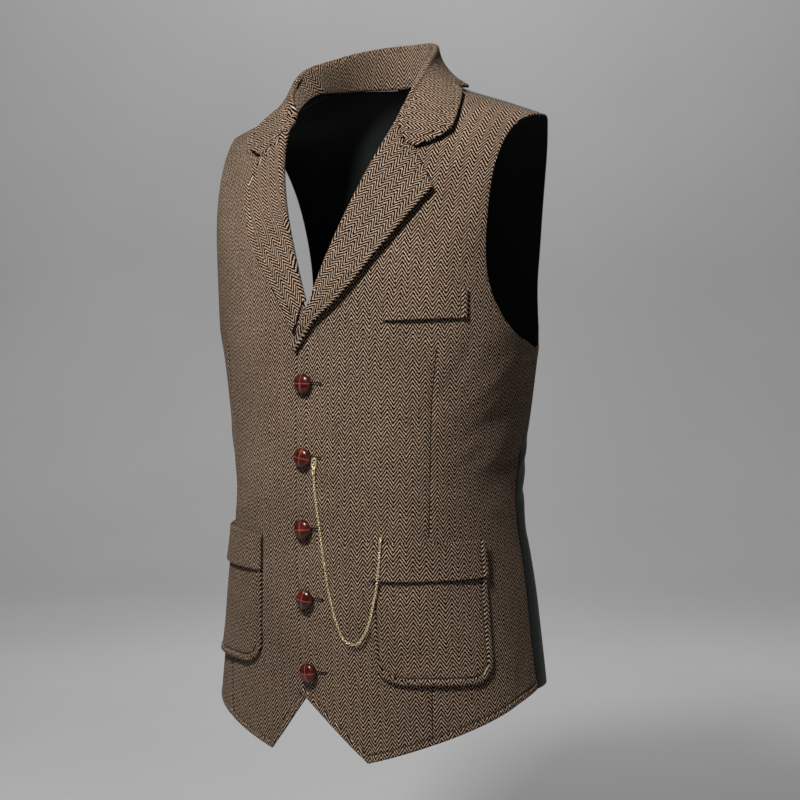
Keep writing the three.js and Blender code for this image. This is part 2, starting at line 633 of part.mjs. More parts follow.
function collarStation(side, station) {
  const stations = COLLAR_FRONT_STATIONS + COLLAR_BACK_STATIONS;
  const { seam: seamPlace, edge: edgePlace } = collarPlaces(side, station);
  const seam = collarSeam(side, station);
  const normal = trunkNormal(seamPlace.angle, seamPlace.height);
  const before = collarSeam(side, Math.max(0, station - 1));
  const after = station === stations ? collarSeam(-side, station - 1) : collarSeam(side, station + 1);
  const along = after.sub(before).normalize();
  const away = new THREE.Vector3().crossVectors(normal, along).multiplyScalar(side).normalize();
  const share = station / stations;
  const lean = side < 0 ? lookup(COLLAR_FOLD, 'share', 'lean', share) : 0;
  const crest = new THREE.Vector3(
    side * (lookup(COLLAR_FOLD, 'share', 'x', share) + lean),
    lookup(COLLAR_FOLD, 'share', 'y', share) - lean * LEAN_FORWARD,
    lookup(COLLAR_FOLD, 'share', 'z', share),
  );
  crest.z += tiltAt(crest.x);
  const rise = smooth(station / COLLAR_FRONT_STATIONS);
  const inside = away.clone().multiplyScalar(1 - rise).add(new THREE.Vector3(0, 0, rise)).normalize();
  const outward = new THREE.Vector3().crossVectors(inside, along).multiplyScalar(-side).normalize();
  if (station === 0) {
    crest.copy(seam).addScaledVector(away, ROLL_GAP + FOLD_LEG + FOLD_RADIUS);
    crest.addScaledVector(normal, FOLD_RADIUS);
  }
  const start = seam.clone().addScaledVector(away, ROLL_GAP + STAND_GAP * Math.min(1, station));
  const fold = foldPoints({ start, away, inside, outward, crest, radius: FOLD_RADIUS });
  const turn = fold.at(-1);
  const edge = clothPoint(edgePlace, LEAF_LIFT);
  const edgeNormal = trunkNormal(edgePlace.angle, edgePlace.height);
  const reach = turn.distanceTo(edge);
  const towards = turn.clone().sub(edge);
  towards.addScaledVector(edgeNormal, -towards.dot(edgeNormal)).normalize();
  const lifted = edgeNormal.clone().multiplyScalar(reach * FALL.lift);
  const fall = new THREE.CubicBezierCurve3(
    turn,
    turn.clone().addScaledVector(inside, -reach * FALL.drop * rise).add(lifted),
    edge.clone().addScaledVector(towards, reach * FALL.reach).add(lifted),
    edge,
  );
  const leaf = [...GORGE, ...LEAF_END];
  const row = leaf.map((point, k) => {
    const free = fall.getPoint((k + 1) / leaf.length);
    const lift = 2 * FOLD_RADIUS - FRONT_CLOTH / 2;
    const x = point.x + COLLAR_GAP;
    const place = frontPlace(side * x, point.height + COLLAR_GAP);
    const flat = clothPoint(place, lapLift(side, x) + lift);
    return flat.lerp(free, smooth(station / LEAF_STATIONS));
  });
  return [...fold, ...row];
}

function collar() {
  const stations = COLLAR_FRONT_STATIONS + COLLAR_BACK_STATIONS;
  const middle = [];
  for (let station = 0; station <= stations; station += 1) middle.push(collarStation(1, station));
  for (let station = stations - 1; station >= 0; station -= 1) middle.push(collarStation(-1, station));
  return sheetAround(middle, TURNED_CLOTH);
}

// Pockets

// A patch that lies on a front panel, from a grid of places
function patch(side, places, gap, thickness) {
  const faceAt = (lift) => places.map((row) => row.map((place) => {
    const x = trunkPoint(place.angle, place.height).x;
    return clothPoint(place, lapLift(side, Math.abs(x)) + lift);
  }));
  return wallBetween(faceAt(gap + thickness), faceAt(gap));
}

// The angles of a pocket's two edges at a height
function pocketAngles(side, height) {
  const { bottom, innerTop, innerBottom, outerTop, outerBottom } = POCKET_SIDES[nameOf(side)];
  const down = (height - POCKET.top) / (bottom - POCKET.top);
  return [mix(innerTop, innerBottom, down), mix(outerTop, outerBottom, down)];
}

function hipPocket(side) {
  const places = [];
  const end = POCKET_SIDES[nameOf(side)].bottom;
  const [innerEnd, outerEnd] = pocketAngles(side, end);
  const width = radians(outerEnd - innerEnd) * POCKET_ARC_RADIUS;
  for (let row = 0; row <= POCKET_ROWS; row += 1) {
    const line = [];
    for (let column = 0; column <= POCKET_COLUMNS; column += 1) {
      const share = (1 - Math.cos((Math.PI * column) / POCKET_COLUMNS)) / 2;
      const inset = Math.max(0, POCKET.corner - Math.min(share, 1 - share) * width);
      const bottom = end + POCKET.corner - Math.sqrt(POCKET.corner ** 2 - inset ** 2);
      const height = mix(POCKET.top, bottom, row / POCKET_ROWS);
      const [inner, outer] = pocketAngles(side, height);
      line.push({ angle: side * mix(inner, outer, share), height });
    }
    places.push(line);
  }
  return patch(side, places, LYING_GAP, POCKET_CLOTH);
}

function pocketTop(side) {
  const places = [];
  for (let row = 0; row <= POCKET_TOP_ROWS; row += 1) {
    const height = POCKET.top - (POCKET_TOP_DEPTH * row) / POCKET_TOP_ROWS;
    const [inner, outer] = pocketAngles(side, height);
    const line = [];
    for (let column = 0; column <= POCKET_COLUMNS; column += 1) {
      const share = column / POCKET_COLUMNS;
      const overhang = POCKET_TOP_OVERHANG * (2 * share - 1);
      line.push({ angle: side * (mix(inner, outer, share) + overhang), height });
    }
    places.push(line);
  }
  return patch(side, places, LYING_GAP + POCKET_CLOTH + TOP_GAP, POCKET_CLOTH);
}

function chestWelt() {
  const places = [];
  for (let row = 0; row <= WELT_ROWS; row += 1) {
    const line = [];
    for (let column = 0; column <= WELT_COLUMNS; column += 1) {
      const share = column / WELT_COLUMNS;
      const height = mix(WELT.top, WELT.bottom, row / WELT_ROWS) + WELT.rise * share;
      line.push(frontPlace(mix(WELT.inner, WELT.outer, share), height));
    }
    places.push(line);
  }
  return patch(1, places, LYING_GAP, POCKET_CLOTH);
}

// Buttons and chain

function buttonMesh(height) {
  const profile = BUTTON_PROFILE.map(({ radius, out }) => new THREE.Vector2(radius, out));
  const place = frontPlace(BUTTON_X, height);
  const normal = trunkNormal(place.angle, place.height);
  const mesh = new THREE.Mesh(new THREE.LatheGeometry(profile, BUTTON_SIDES), MATERIALS.leather);
  mesh.position.copy(clothPoint(place, LAP_RISE + SEAM_GAP));
  mesh.quaternion.setFromUnitVectors(new THREE.Vector3(0, 1, 0), normal);
  return mesh;
}

function chain() {
  const route = new THREE.CatmullRomCurve3(CHAIN_ROUTE.map(({ x, height, lift }) => (
    clothPoint(frontPlace(x, height), lapLift(1, x) + lift)
  )), false, 'centripetal');
  const section = new THREE.Shape();
  section.absarc(0, 0, CHAIN_DIAMETER / 2, 0, 2 * Math.PI);
  return new THREE.ExtrudeGeometry(section, { steps: CHAIN_STEPS, extrudePath: route, curveSegments: 8 });
}

const waistcoat = new THREE.Group();

function addPiece(name, geometry, material) {
  const mesh = new THREE.Mesh(geometry, material);
  mesh.name = name;
  waistcoat.add(mesh);
}

for (const side of [1, -1]) {
  addPiece(`front_${nameOf(side)}`, frontPanel(side), MATERIALS.tweed);
  addPiece(`back_${nameOf(side)}`, backPanel(side), MATERIALS.satin);
  addPiece(`lapel_${nameOf(side)}`, lapel(side), MATERIALS.collarTweed);
  addPiece(`pocket_${nameOf(side)}`, hipPocket(side), MATERIALS.tweed);
  addPiece(`pocket_top_${nameOf(side)}`, pocketTop(side), MATERIALS.collarTweed);
}
addPiece('collar', collar(), MATERIALS.collarTweed);
addPiece('chest_welt', chestWelt(), MATERIALS.collarTweed);
BUTTON_HEIGHTS.forEach((height, k) => {
  const button = buttonMesh(height);
  button.name = `button_${k + 1}`;
  waistcoat.add(button);
});
addPiece('watch_chain', chain(), MATERIALS.gilt);

export default waistcoat;
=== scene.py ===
"""A tweed suit waistcoat, worn and hollow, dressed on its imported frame.

The frame is in metres. The cut of the cloth is worked out in millimetres, with the same rings and
tables as the solids: angle 0 is the middle of the front, 90 the wearer's left side, and height runs
from the hem up to 0 on the shoulder line.
"""

import math

import bpy
import numpy as np
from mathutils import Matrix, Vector


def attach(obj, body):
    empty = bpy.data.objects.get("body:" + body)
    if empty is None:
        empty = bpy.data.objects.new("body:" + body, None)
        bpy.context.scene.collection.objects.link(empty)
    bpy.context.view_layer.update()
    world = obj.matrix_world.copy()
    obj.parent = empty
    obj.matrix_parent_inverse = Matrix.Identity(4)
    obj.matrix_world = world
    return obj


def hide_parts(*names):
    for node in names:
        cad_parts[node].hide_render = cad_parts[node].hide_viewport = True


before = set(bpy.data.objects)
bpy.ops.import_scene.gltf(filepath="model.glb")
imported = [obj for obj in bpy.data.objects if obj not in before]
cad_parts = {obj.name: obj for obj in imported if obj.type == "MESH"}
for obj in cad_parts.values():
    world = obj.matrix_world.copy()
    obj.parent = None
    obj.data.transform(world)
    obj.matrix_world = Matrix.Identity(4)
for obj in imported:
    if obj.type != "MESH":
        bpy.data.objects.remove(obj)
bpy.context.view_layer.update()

MM = 0.001
NAMES = {1: "left", -1: "right"}
DETAIL = 1.0


def table(names, *rows):
    """Named columns from a short table."""
    return dict(zip(names.split(), np.array(rows, float).T))


# Camera, as the photograph was taken

CAMERA_PLACE = (1.0638, -1.6343, -0.1784)
CAMERA_TURN = (86.14, 0, 32.48)
CAMERA_LENS = 83.97

# The trunk under the cloth, its shoulders and its soft folds

TRUNK = table(
    "height half_width front back",
    (-720, 187, 116, 126),
    (-640, 184, 120, 127),
    (-520, 167.5, 130, 131),
    (-400, 152, 134.5, 120),
    (-300, 162, 133, 124),
    (-235, 171, 131.5, 128),
)
CHEST = -235
RING_POWER = 2.32
BACK_FULLNESS = 0.5
SHOULDER = table(
    "x y z",
    (0, 2, 24),
    (60, 4, 16),
    (98, 5, 2),
    (130, 5, -9),
    (160, 4, -20),
    (200, 2, -35),
)
SHOULDER_REACH = 200
TILT_LEFT = 0.048
TILT_RIGHT = 0.012
FOLDS = table(
    "angle height slope length width depth",
    (80, -330, 0.9, 70, 16, -2.4),
    (84, -385, 0.5, 60, 15, -2),
    (-78, -350, -0.8, 75, 17, -2.6),
    (-84, -400, -0.4, 60, 15, -2.2),
    (46, -150, 1.6, 60, 14, -1.8),
    (-66, -150, 8, 110, 52, 8),
    (-70, -515, 8, 90, 42, -5),
    (140, -330, 0.5, 80, 18, -2.6),
    (150, -420, 0.2, 90, 20, -2.8),
    (-136, -340, -0.6, 80, 18, -2.4),
    (-148, -430, -0.2, 90, 20, -2.6),
)

# Small creases of the worn cloth: slope is rise over run, depth is out of the cloth
CREASES = table(
    "angle height slope length width depth",
    (12, -318, 0.25, 46, 7, 0.9),
    (14, -392, -0.2, 52, 8, -1.0),
    (10, -462, 0.15, 44, 7, 0.8),
    (13, -536, -0.25, 48, 8, -0.9),
    (48, -300, 1.3, 52, 9, -1.1),
    (70, -292, 0.7, 58, 8, 1.2),
    (78, -318, 0.55, 52, 7, -1.2),
    (66, -352, 0.35, 60, 9, 1.0),
    (82, -372, 0.3, 46, 6, -1.1),
    (72, -408, -0.2, 54, 8, 1.0),
    (60, -250, 2.2, 38, 8, -1.0),
    (40, -118, 2.6, 44, 8, 0.9),
    (53, -72, 3.2, 36, 7, -0.8),
    (28, -610, 3.0, 34, 8, 0.9),
    (84, -590, 2.4, 40, 8, -1.1),
    (-14, -330, 0.3, 44, 8, 0.8),
    (-20, -412, -0.25, 50, 8, -0.9),
    (-34, -300, -1.4, 54, 9, -1.0),
    (-52, -262, -1.8, 46, 8, 0.9),
    (-66, -330, -0.6, 60, 8, 1.2),
    (-74, -372, -0.4, 50, 7, -1.1),
    (-40, -420, 0.3, 56, 9, 0.9),
    (-30, -600, -2.6, 40, 8, -0.9),
    (-46, -110, -2.4, 44, 8, -0.8),
    (112, -360, 0.4, 60, 8, 1.5),
    (124, -395, 0.25, 64, 7, -1.8),
    (138, -372, 0.15, 70, 8, 1.6),
    (152, -352, 0.1, 60, 7, -1.7),
    (160, -402, 0.05, 70, 9, 1.7),
    (146, -455, -0.15, 66, 9, -1.5),
    (132, -180, 1.9, 60, 10, -1.5),
    (150, -140, 2.4, 64, 10, 1.3),
    (-116, -352, -0.4, 60, 8, 1.6),
    (-128, -388, -0.2, 66, 7, -1.7),
    (-141, -360, -0.12, 64, 8, 1.5),
    (-156, -384, 0.06, 62, 7, -1.8),
    (-163, -430, 0.1, 70, 9, 1.5),
    (-136, -470, 0.2, 60, 9, -1.4),
    (-134, -190, -1.8, 60, 10, -1.4),
    (-152, -130, -2.2, 62, 10, 1.4),
)

# Cloth

FRONT_CLOTH = 2.4
BACK_CLOTH = 1.4
TURNED_CLOTH = 2.4
POCKET_CLOTH = 2.2
LYING_GAP = 0.6
TOP_GAP = 0.5
FOLD_RADIUS = 2.6
FOLD_LEG = 1.2
ROLL_GAP = 0.55
STAND_GAP = 1.3
STAND_BEND = {"place": 0.45, "depth": 0.1}
SMALL_FOLD = 0.62
FULL_FOLD_SHARE = 0.25
FOLD_ARC_RADIUS = 150
STITCH_INSET = 6.6
GROOVE = {"before": 1.4, "fade": 1.6, "width": 0.95}
SHOULDER_GAP = 0.15

# Fronts

LAP = 19
LAP_RISE = 1.5
LAP_FLAT = 30
LAP_END = 66
FRONT_TIP = (59, -663)
CUT_TOP = {1: -595, -1: -566}
BREAK_HEIGHT = -256
ROLL_LINE = table(
    "height x",
    (-256, -19),
    (-240, -8.5),
    (-216, 3.5),
    (-166, 23.2),
    (-110, 44.6),
    (-76, 56.5),
    (-46, 66),
    (-28, 70),
    (20, 71),
)
GORGE_HEIGHT = -34
SIDE_HEM = {1: -598, -1: -617}
HEM_RISE = {1: 5, -1: 9}
BACK_HEM = -607
SIDE_SEAM = table(
    "height angle",
    (-640, 96.5),
    (-560, 95.5),
    (-470, 97.5),
    (-380, 98.2),
    (-345, 102.5),
    (-310, 109),
    (-252, 118),
)
ARMPIT_HEIGHT = -252
SHOULDER_TIP = 66.5
FRONT_ARMHOLE = table(
    "share angle height",
    (0, 118, -252),
    (0.12, 106.5, -254.5),
    (0.22, 95.5, -248.5),
    (0.32, 84.8, -236.5),
    (0.42, 74.5, -220),
    (0.53, 66.6, -195),
    (0.65, 62, -152),
    (0.77, 58.9, -105),
    (0.89, 59.6, -55),
    (1, SHOULDER_TIP, 0),
)
BACK_ARMHOLE = table(
    "share angle height",
    (0, 118, -252),
    (0.15, 123.5, -238),
    (0.32, 126, -206),
    (0.52, 125, -152),
    (0.72, 122.5, -98),
    (0.87, 120, -50),
    (1, 180 - SHOULDER_TIP, 0),
)
NECK_HALF_WIDTH = 71
BACK_NECK_DROP = 32
SEAM_ROWS = 17
ARMHOLE_ROWS = 15
CUT_ROWS = 5
ROLL_SPACING = 1.25
FRONT_SPACING = 1.02
BACK_SHAPING = 3
BACK_COLUMNS = 12
MIDDLE_ANGLE = 179.985
SEAM_ANGLE = 0.08
DART = table("height x", (-437, 117.8), (-346, 119.6), (-289, 123), (-249, 127))
LOW_DART = table("height x", (-640, 123), (-578, 123))

# Lapels and collar

LAPEL_EDGE = {
    1: table(
        "share x height",
        (0, -11, -254),
        (0.12, 6, -231),
        (0.3, 37, -203),
        (0.6, 75, -156),
        (1, 117, -98),
    ),
    -1: table(
        "share x height",
        (0, 17, -236),
        (0.25, 35, -202),
        (0.48, 59.4, -169),
        (0.68, 78, -143),
        (1, 100, -92),
    ),
}
GORGE = [(81, -54), (91, -58)]
LAPEL_TOP = {1: [(100, -71), (109, -84)], -1: [(95, -67), (98, -78)]}
LAPEL_START = {1: -252, -1: -206}
LAPEL_SHAPING = 4
LEAF_END = [(102, -55.5), (112, -51), (121, -44)]
LEAF_LIFT = 3.2
COLLAR_GAP = 0.4
LEAN_FORWARD = 0.6
COLLAR_FOLD = table(
    "share x y z lean",
    (0, 65, -71, -30, 0),
    (0.12, 65.6, -58, -14, 1),
    (0.24, 69, -42, 8.5, 10),
    (0.36, 67, -16, 32, 15),
    (0.52, 54, 19, 49, 8),
    (0.75, 32, 50, 60, 2),
    (1, 0, 62, 63, 0),
)
COLLAR_EDGE = table(
    "share x height",
    (0, 121, -44),
    (0.35, 121, -27),
    (0.7, 113, -11),
    (0.88, 106, -4),
    (1, 98, 0),
)
COLLAR_BACK_EDGE = {"half_width": 98, "drop": 44, "narrowing": 2}
COLLAR_FRONT = 5
COLLAR_BACK = 8
LEAF_STATIONS = 4
FALL = {"drop": 0.3, "lift": 0.1, "reach": 0.42}

# Pockets

WELT = {"inner": 80.5, "outer": 148.5, "top": -196, "bottom": -223.6, "rise": 3.5}
POCKET_TOP = -440
POCKET_BOTTOM = {1: -579.5, -1: -576}
POCKET_CORNER = 24
POCKET_ARC_RADIUS = 140
POCKET_SIDES = {
    1: {"inner": (21.6, 20.2), "outer": (72.8, 68.8)},
    -1: {"inner": (19, 18.6), "outer": (72.8, 68.8)},
}
TOP_DEPTH = 37
TOP_OVERHANG = 0.4

# Buttons, buttonholes and chain

BUTTON_X = -2
BUTTON_HEIGHTS = (-286, -359.3, -430.2, -500.6, -575.1)
BUTTON_TURNS = (1, -10, 3, -8, 5)
BUTTON_RADIUS = 9.8
CHAIN_WIDTH = 3.0
CHAIN_ROUTE = table(
    "x height lift",
    (11, -361.5, 2),
    (10.6, -373, 2),
    (11.6, -390, 2),
    (13.6, -406, 2),
    (16, -424, 2),
    (18.6, -444, 2),
    (21.4, -464, 2),
    (24.4, -484, 2),
    (28, -502, 2),
    (33, -521, 2.1),
    (39.3, -536, 2.3),
    (46, -541, 2.6),
    (51.8, -541.4, 3.6),
    (58, -537.5, 4.6),
    (64, -528, 5),
    (68.6, -516, 5.2),
    (73, -497, 6),
    (76, -481, 7.4),
    (77.8, -463, 7.6),
    (78.8, -447, 7.8),
    (79, -440.5, 7.9),
    (79, -436.4, 6.4),
    (79, -434.2, 3.2),
)


# The trunk's surface and the cloth on it

def smooth(t):
    """A share from 0 to 1 that starts and ends gently."""
    t = np.clip(t, 0, 1)
    return t * t * (3 - 2 * t)


def mix(a, b, t):
    return a + (b - a) * t


def power(value, exponent):
    """A power that keeps the sign."""
    return np.sign(value) * np.abs(value) ** exponent


def curve(rows, key, column, at):
    """A smooth curve through one column of a table whose key column rises."""
    x, y = rows[key], rows[column]
    step = np.diff(x)
    slope = np.diff(y) / step
    tangent = np.empty(len(x))
    tangent[0], tangent[-1] = slope[0], slope[-1]
    tangent[1:-1] = (slope[:-1] * step[1:] + slope[1:] * step[:-1]) / (step[1:] + step[:-1])
    i = np.clip(np.searchsorted(x, at, side="left") - 1, 0, len(x) - 2)
    t = np.clip((at - x[i]) / step[i], 0, 1)
    low = (1 + 2 * t) * (1 - t) ** 2 * y[i] + t * (1 - t) ** 2 * step[i] * tangent[i]
    high = t * t * (3 - 2 * t) * y[i + 1] - t * t * (1 - t) * step[i] * tangent[i + 1]
    return low + high


def relief(rows, angle, height):
    """Depth of soft troughs and ridges laid over a place on the trunk."""
    depth = 0
    for a, h, slope, length, width, amount in zip(*rows.values()):
        along = np.radians(angle - a) * FOLD_ARC_RADIUS
        up = height - h
        size = math.hypot(1, slope)
        run = (along + up * slope) / size
        across = (up - along * slope) / size
        depth = depth + amount * np.exp(-((run / length) ** 2) - (across / width) ** 2)
    return depth


def tilt(x):
    """The shoulders are not quite level."""
    return np.where(x > 0, TILT_LEFT, TILT_RIGHT) * x


def trunk(angle, height):
    """Points of the plain trunk, in millimetres."""
    level = np.minimum(height, CHEST)
    half = curve(TRUNK, "height", "half_width", level)
    sine = power(np.sin(np.radians(angle)), 2 / RING_POWER)
    cosine = power(np.cos(np.radians(angle)), 2 / RING_POWER)
    rise = np.clip((height - CHEST) / -CHEST, 0, 1)
    turn = rise * np.pi / 2
    x = half * sine * (1 + (SHOULDER_REACH / half - 1) * smooth(rise))
    front = curve(TRUNK, "height", "front", level)
    depth = np.where(cosine > 0, front, curve(TRUNK, "height", "back", level))
    top_y = curve(SHOULDER, "x", "y", np.abs(x))
    top_z = curve(SHOULDER, "x", "z", np.abs(x))
    closing = np.maximum(0, np.cos(turn)) ** np.where(cosine > 0, 1, BACK_FULLNESS)
    y = top_y + (-depth * cosine - top_y) * closing
    z = np.where(height <= CHEST, height, CHEST + (top_z - CHEST) * np.sin(turn))
    return np.stack([x, y, z + tilt(x) * smooth(rise)], -1)


def unit(v):
    return v / np.maximum(np.linalg.norm(v, axis=-1, keepdims=True), 1e-9)


def normal(angle, height):
    """The direction out of the trunk."""
    top = np.minimum(height + 1, -0.2)
    around = trunk(angle + 0.3, height) - trunk(angle - 0.3, height)
    up = trunk(angle, top) - trunk(angle, top - 2)
    return unit(np.cross(around, up))


def cloth(angle, height, lift=0, creased=False):
    """Points of the worn cloth's outer face, moved out by a lift."""
    angle, height = np.broadcast_arrays(np.asarray(angle, float), np.asarray(height, float))
    out = lift + relief(FOLDS, angle, height)
    if creased:
        out = out + relief(CREASES, angle, height)
    return trunk(angle, height) + normal(angle, height) * out[..., None]


def front_place(x, z):
    """Angle and height on the front where the trunk is x wide at z."""
    x, z = np.broadcast_arrays(np.asarray(x, float), np.asarray(z, float))
    top_z = curve(SHOULDER, "x", "z", np.abs(x))
    rise = np.arcsin(np.clip((z - CHEST) / (top_z - CHEST), 0, 1)) * 2 / np.pi
    height = np.where(z <= CHEST, z, CHEST * (1 - rise))
    half = curve(TRUNK, "height", "half_width", np.minimum(z, CHEST))
    full = half * (1 + (SHOULDER_REACH / half - 1) * smooth(rise))
    sine = np.minimum(1, np.abs(x) / full) ** (RING_POWER / 2)
    return np.sign(x) * np.degrees(np.arcsin(sine)), height


def back_angle(x, height):
    """The angle in the back half where the trunk is x wide."""
    rise = np.clip((height - CHEST) / -CHEST, 0, 1)
    half = curve(TRUNK, "height", "half_width", np.minimum(height, CHEST))
    full = half * (1 + (SHOULDER_REACH / half - 1) * smooth(rise))
    return 180 - np.degrees(np.arcsin(np.minimum(1, x / full) ** (RING_POWER / 2)))


def lap_lift(side, x):
    """The left front is raised and the right one lowered where they lap."""
    return side * LAP_RISE * (1 - smooth((np.abs(x) - LAP_FLAT) / (LAP_END - LAP_FLAT)))


# How the weave lies: distance round the trunk from the middle of the front, and up it

GRAIN_TURN = 2.0
GRAIN_RISE = 6.0
GRAIN_ANGLES = np.arange(-180, 181, GRAIN_TURN)
GRAIN_HEIGHTS = np.arange(-690, 1, GRAIN_RISE)


def grain_tables():
    points = trunk(GRAIN_ANGLES[None, :], GRAIN_HEIGHTS[:, None])
    around = np.linalg.norm(np.diff(points, axis=1), axis=2)
    across = np.concatenate([np.zeros((len(GRAIN_HEIGHTS), 1)), np.cumsum(around, 1)], 1)
    middle = len(GRAIN_ANGLES) // 2
    across -= across[:, middle : middle + 1]
    rising = np.linalg.norm(np.diff(points, axis=0), axis=2)
    along = np.concatenate([np.zeros((1, len(GRAIN_ANGLES))), np.cumsum(rising, 0)], 0)
    chest = np.searchsorted(GRAIN_HEIGHTS, CHEST)
    along += CHEST - along[chest : chest + 1]
    return across, along


GRAIN_ACROSS, GRAIN_ALONG = grain_tables()


def grain(angle, height):
    """Weave coordinates in millimetres of a place on the trunk."""
    column = np.clip((angle - GRAIN_ANGLES[0]) / GRAIN_TURN, 0, len(GRAIN_ANGLES) - 1.001)
    row = np.clip((height - GRAIN_HEIGHTS[0]) / GRAIN_RISE, 0, len(GRAIN_HEIGHTS) - 1.001)
    c, r = column.astype(int), row.astype(int)
    s, t = column - c, row - r
    out = []
    for field in (GRAIN_ACROSS, GRAIN_ALONG):
        low = mix(field[r, c], field[r, c + 1], s)
        high = mix(field[r + 1, c], field[r + 1, c + 1], s)
        out.append(mix(low, high, t))
    return np.stack(out, -1)


# Materials

class Nodes:
    """A short way to write a material's node tree."""

    def __init__(self, name):
        self.material = bpy.data.materials.new(name)
        self.material.use_nodes = True
        self.tree = self.material.node_tree
        self.shader = self.tree.nodes["Principled BSDF"]

    def add(self, kind, **values):
        node = self.tree.nodes.new(kind)
        for key, value in values.items():
            setattr(node, key, value)
        return node

    def link(self, source, target):
        if isinstance(source, (int, float)):
            target.default_value = source
        else:
            self.tree.links.new(source, target)

    def math(self, operation, *values):
        node = self.add("ShaderNodeMath", operation=operation)
        for k, value in enumerate(values):
            self.link(value, node.inputs[k])
        return node.outputs[0]

    def plus(self, value, other):
        return self.math("ADD", value, other)

    def times(self, value, factor):
        return self.math("MULTIPLY", value, factor)

    def centred(self, value, size):
        """A share from 0 to 1 as an amount to both sides of nothing."""
        return self.times(self.math("SUBTRACT", value, 0.5), size)

    def wave(self, value, pitch):
        return self.math("COSINE", self.times(value, 2 * math.pi / pitch))

    def ramp(self, value, low, high, to_low=0.0, to_high=1.0):
        node = self.add("ShaderNodeMapRange", interpolation_type="SMOOTHSTEP")
        for k, item in enumerate((value, low, high, to_low, to_high)):
            self.link(item, node.inputs[k])
        return node.outputs[0]

    def noise(self, place, scale, detail=2.0, rough=0.5):
        node = self.add("ShaderNodeTexNoise")
        self.tree.links.new(place, node.inputs["Vector"])
        for name, value in (("Scale", scale), ("Detail", detail), ("Roughness", rough)):
            node.inputs[name].default_value = value
        return node.outputs["Fac"]

    def blend(self, share, low, high, mode="MIX"):
        node = self.add("ShaderNodeMix", data_type="RGBA", blend_type=mode)
        self.link(share, node.inputs["Factor"])
        targets = [socket for socket in node.inputs if socket.type == "RGBA"]
        for item, target in zip((low, high), targets):
            if isinstance(item, tuple):
                target.default_value = (*item, 1)
            else:
                self.tree.links.new(item, target)
        return [socket for socket in node.outputs if socket.type == "RGBA"][0]

    def bump(self, height, strength, distance):
        node = self.add("ShaderNodeBump")
        self.tree.links.new(height, node.inputs["Height"])
        node.inputs["Strength"].default_value = strength
        node.inputs["Distance"].default_value = distance
        self.tree.links.new(node.outputs["Normal"], self.shader.inputs["Normal"])

    def surface(self, colour, roughness, constants=None):
        """Wires up the shader and gives the material: constants are set on the shader itself."""
        self.tree.links.new(colour, self.shader.inputs["Base Color"])
        self.link(roughness, self.shader.inputs["Roughness"])
        for name, value in (constants or {}).items():
            self.shader.inputs[name].default_value = value
        return self.material

    def weave_place(self):
        """Weave coordinates in millimetres: across the wales, and along them."""
        uv = self.add("ShaderNodeUVMap", uv_map="weave")
        parts = self.add("ShaderNodeSeparateXYZ")
        self.tree.links.new(uv.outputs[0], parts.inputs[0])
        return parts.outputs[0], parts.outputs[1], uv.outputs[0]

    def object_place(self):
        return self.add("ShaderNodeTexCoord").outputs["Object"]


# The herringbone: the width of a wale, and the pitch of the twill lines up it and across it
WALE = 6.17
TWILL_UP = 4.35
TWILL_ACROSS = 2.88
YARN_SLANT = 0.6
YARN_TWIST = 1.5
FLOAT_SLANT = 0.35
FLOAT_PITCH = 0.9
TWEED_DARK = (0.0035, 0.0018, 0.0013)
TWEED_LIGHT = (0.54, 0.405, 0.305)
TWEED_LIGHT_TWO = (0.26, 0.172, 0.112)


def tweed_material(name):
    n = Nodes(name)
    across, along, uv = n.weave_place()
    place = n.object_place()
    wander = n.centred(n.noise(uv, 0.05), 1.6)
    jitter = n.centred(n.noise(uv, 0.9), 0.9)
    u = n.plus(across, wander)
    v = n.plus(n.plus(along, wander), jitter)
    zigzag = n.math("PINGPONG", n.math("DIVIDE", u, WALE), 1.0)
    phase = n.plus(n.math("DIVIDE", v, TWILL_UP), n.times(zigzag, WALE / TWILL_ACROSS))
    twist = n.wave(n.plus(v, n.times(u, YARN_SLANT)), YARN_TWIST)
    fuzz = n.noise(uv, 2.2, 3.0, 0.7)
    rib = n.plus(n.plus(n.wave(phase, 1), n.times(twist, 0.4)), n.centred(fuzz, 1.5))
    yarn = n.ramp(rib, 0.15, 0.62)
    light = n.blend(n.ramp(n.noise(uv, 0.55, 2.0), 0.35, 0.65), TWEED_LIGHT_TWO, TWEED_LIGHT)
    colour = n.blend(yarn, TWEED_DARK, light)
    shade = n.ramp(n.noise(place, 9.0, 3.0), 0.3, 0.7, 0.86, 1.06)
    tone = n.add("ShaderNodeCombineXYZ")
    for k in range(3):
        n.link(shade, tone.inputs[k])
    colour = n.blend(1.0, colour, tone.outputs[0], "MULTIPLY")
    n.bump(n.plus(yarn, n.times(fuzz, 0.6)), 0.9, 0.0005)
    return n.surface(colour, 0.92, {
        "Specular IOR Level": 0.03,
        "Sheen Weight": 0.012,
        "Sheen Roughness": 0.45,
        "Sheen Tint": (0.75, 0.62, 0.48, 1),
    })


def satin_material(name, base, roughness):
    n = Nodes(name)
    across, along, uv = n.weave_place()
    floats = n.wave(n.plus(across, n.times(along, FLOAT_SLANT)), FLOAT_PITCH)
    slub = n.noise(uv, 0.35, 4.0, 0.6)
    colour = n.blend(n.ramp(slub, 0.3, 0.75), base, tuple(c * 1.5 for c in base))
    rough = n.ramp(slub, 0.2, 0.8, roughness - 0.06, roughness + 0.08)
    n.bump(n.plus(floats, n.times(slub, 3.0)), 0.25, 0.0002)
    return n.surface(colour, rough, {"Specular IOR Level": 0.16})


